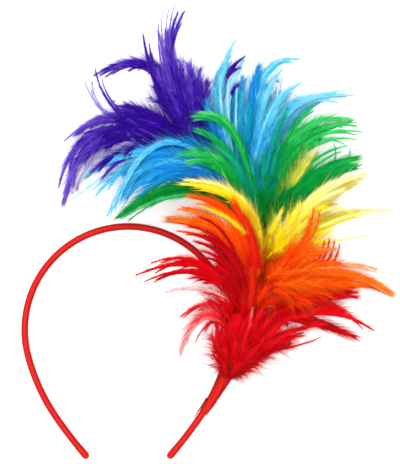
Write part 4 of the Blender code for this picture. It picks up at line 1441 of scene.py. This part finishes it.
class FASCINATOR_OT_stage(bpy.types.Operator):
    """Sets the white table, the soft light and the camera overhead"""

    bl_idname = "fascinator.stage"
    bl_label = "Stage"

    def execute(self, context):
        scene = context.scene
        scene.view_settings.view_transform = "Standard"
        turns = ((-1, -1), (1, -1), (1, 1), (-1, 1))
        corners = [(x * TABLE_HALF, y * TABLE_HALF, TABLE_Z) for x, y in turns]
        mesh = bpy.data.meshes.new("table")
        mesh.from_pydata(corners, [], [(0, 1, 2, 3)])
        table = bpy.data.objects.new("table", mesh)
        scene.collection.objects.link(table)
        white, graph, shader = new_shader("white table")
        at = graph.wire("ShaderNodeTexCoord", output=3)
        grain = graph.wire("ShaderNodeTexNoise", None, {"Vector": at, "Scale": 40.0, "Detail": 3.0})
        link(graph, graph.mix_colours(grain, (0.92, 0.92, 0.92), (0.94, 0.94, 0.94)), shader, "Base Color")
        link(graph, 0.7 + grain * 0.1, shader, "Roughness")
        shader.inputs["Specular IOR Level"].default_value = TABLE_SHEEN
        shader.inputs["Emission Color"].default_value = WHITE
        shader.inputs["Emission Strength"].default_value = TABLE_GLOW
        mesh.materials.append(white)

        world = bpy.data.worlds.new("soft room")
        world.use_nodes = True
        background = world.node_tree.nodes["Background"]
        background.inputs["Color"].default_value = WHITE
        background.inputs["Strength"].default_value = ROOM_LIGHT
        scene.world = world
        for name, energy, spread, towards in LAMPS:
            lamp = bpy.data.lights.new(name, "SUN")
            lamp.energy = energy
            lamp.angle = math.radians(spread)
            lit = bpy.data.objects.new(name, lamp)
            lit.rotation_euler = Vector(towards).to_track_quat("Z", "Y").to_euler()
            scene.collection.objects.link(lit)

        lens = bpy.data.cameras.new("overhead")
        lens.sensor_width = SENSOR
        lens.lens = SENSOR * (CAMERA_PLACE[2] - PICTURE_Z) / PICTURE_HEIGHT
        lens.clip_end = 100.0
        camera = bpy.data.objects.new("overhead", lens)
        camera.location = CAMERA_PLACE
        scene.collection.objects.link(camera)
        scene.camera = camera
        return {"FINISHED"}


class FASCINATOR_PT_panel(bpy.types.Panel):
    """Lists the pieces and their settings"""

    bl_label = "Feather Fascinator"
    bl_idname = "FASCINATOR_PT_panel"
    bl_space_type = "VIEW_3D"
    bl_region_type = "UI"
    bl_category = "Fascinator"

    def draw(self, context):
        layout = self.layout
        for operator in OPERATORS:
            layout.operator(operator.bl_idname)
        for settings in (context.scene.fascinator_band, context.scene.fascinator_plume):
            box = layout.box()
            for name in settings.__annotations__:
                box.prop(settings, name)


OPERATORS = (FASCINATOR_OT_headband, FASCINATOR_OT_binding, FASCINATOR_OT_feathers, FASCINATOR_OT_stage)
CLASSES = (FascinatorBandSettings, FascinatorPlumeSettings, *OPERATORS, FASCINATOR_PT_panel)


def register():
    for new_class in CLASSES:
        bpy.utils.register_class(new_class)
    bpy.types.Scene.fascinator_band = PointerProperty(type=FascinatorBandSettings)
    bpy.types.Scene.fascinator_plume = PointerProperty(type=FascinatorPlumeSettings)


def unregister():
    del bpy.types.Scene.fascinator_plume
    del bpy.types.Scene.fascinator_band
    for old_class in reversed(CLASSES):
        bpy.utils.unregister_class(old_class)


def main():
    register()
    bpy.ops.fascinator.headband()
    bpy.ops.fascinator.binding()
    bpy.ops.fascinator.feathers()
    bpy.ops.fascinator.stage()
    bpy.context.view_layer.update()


if __name__ == "__main__":
    main()
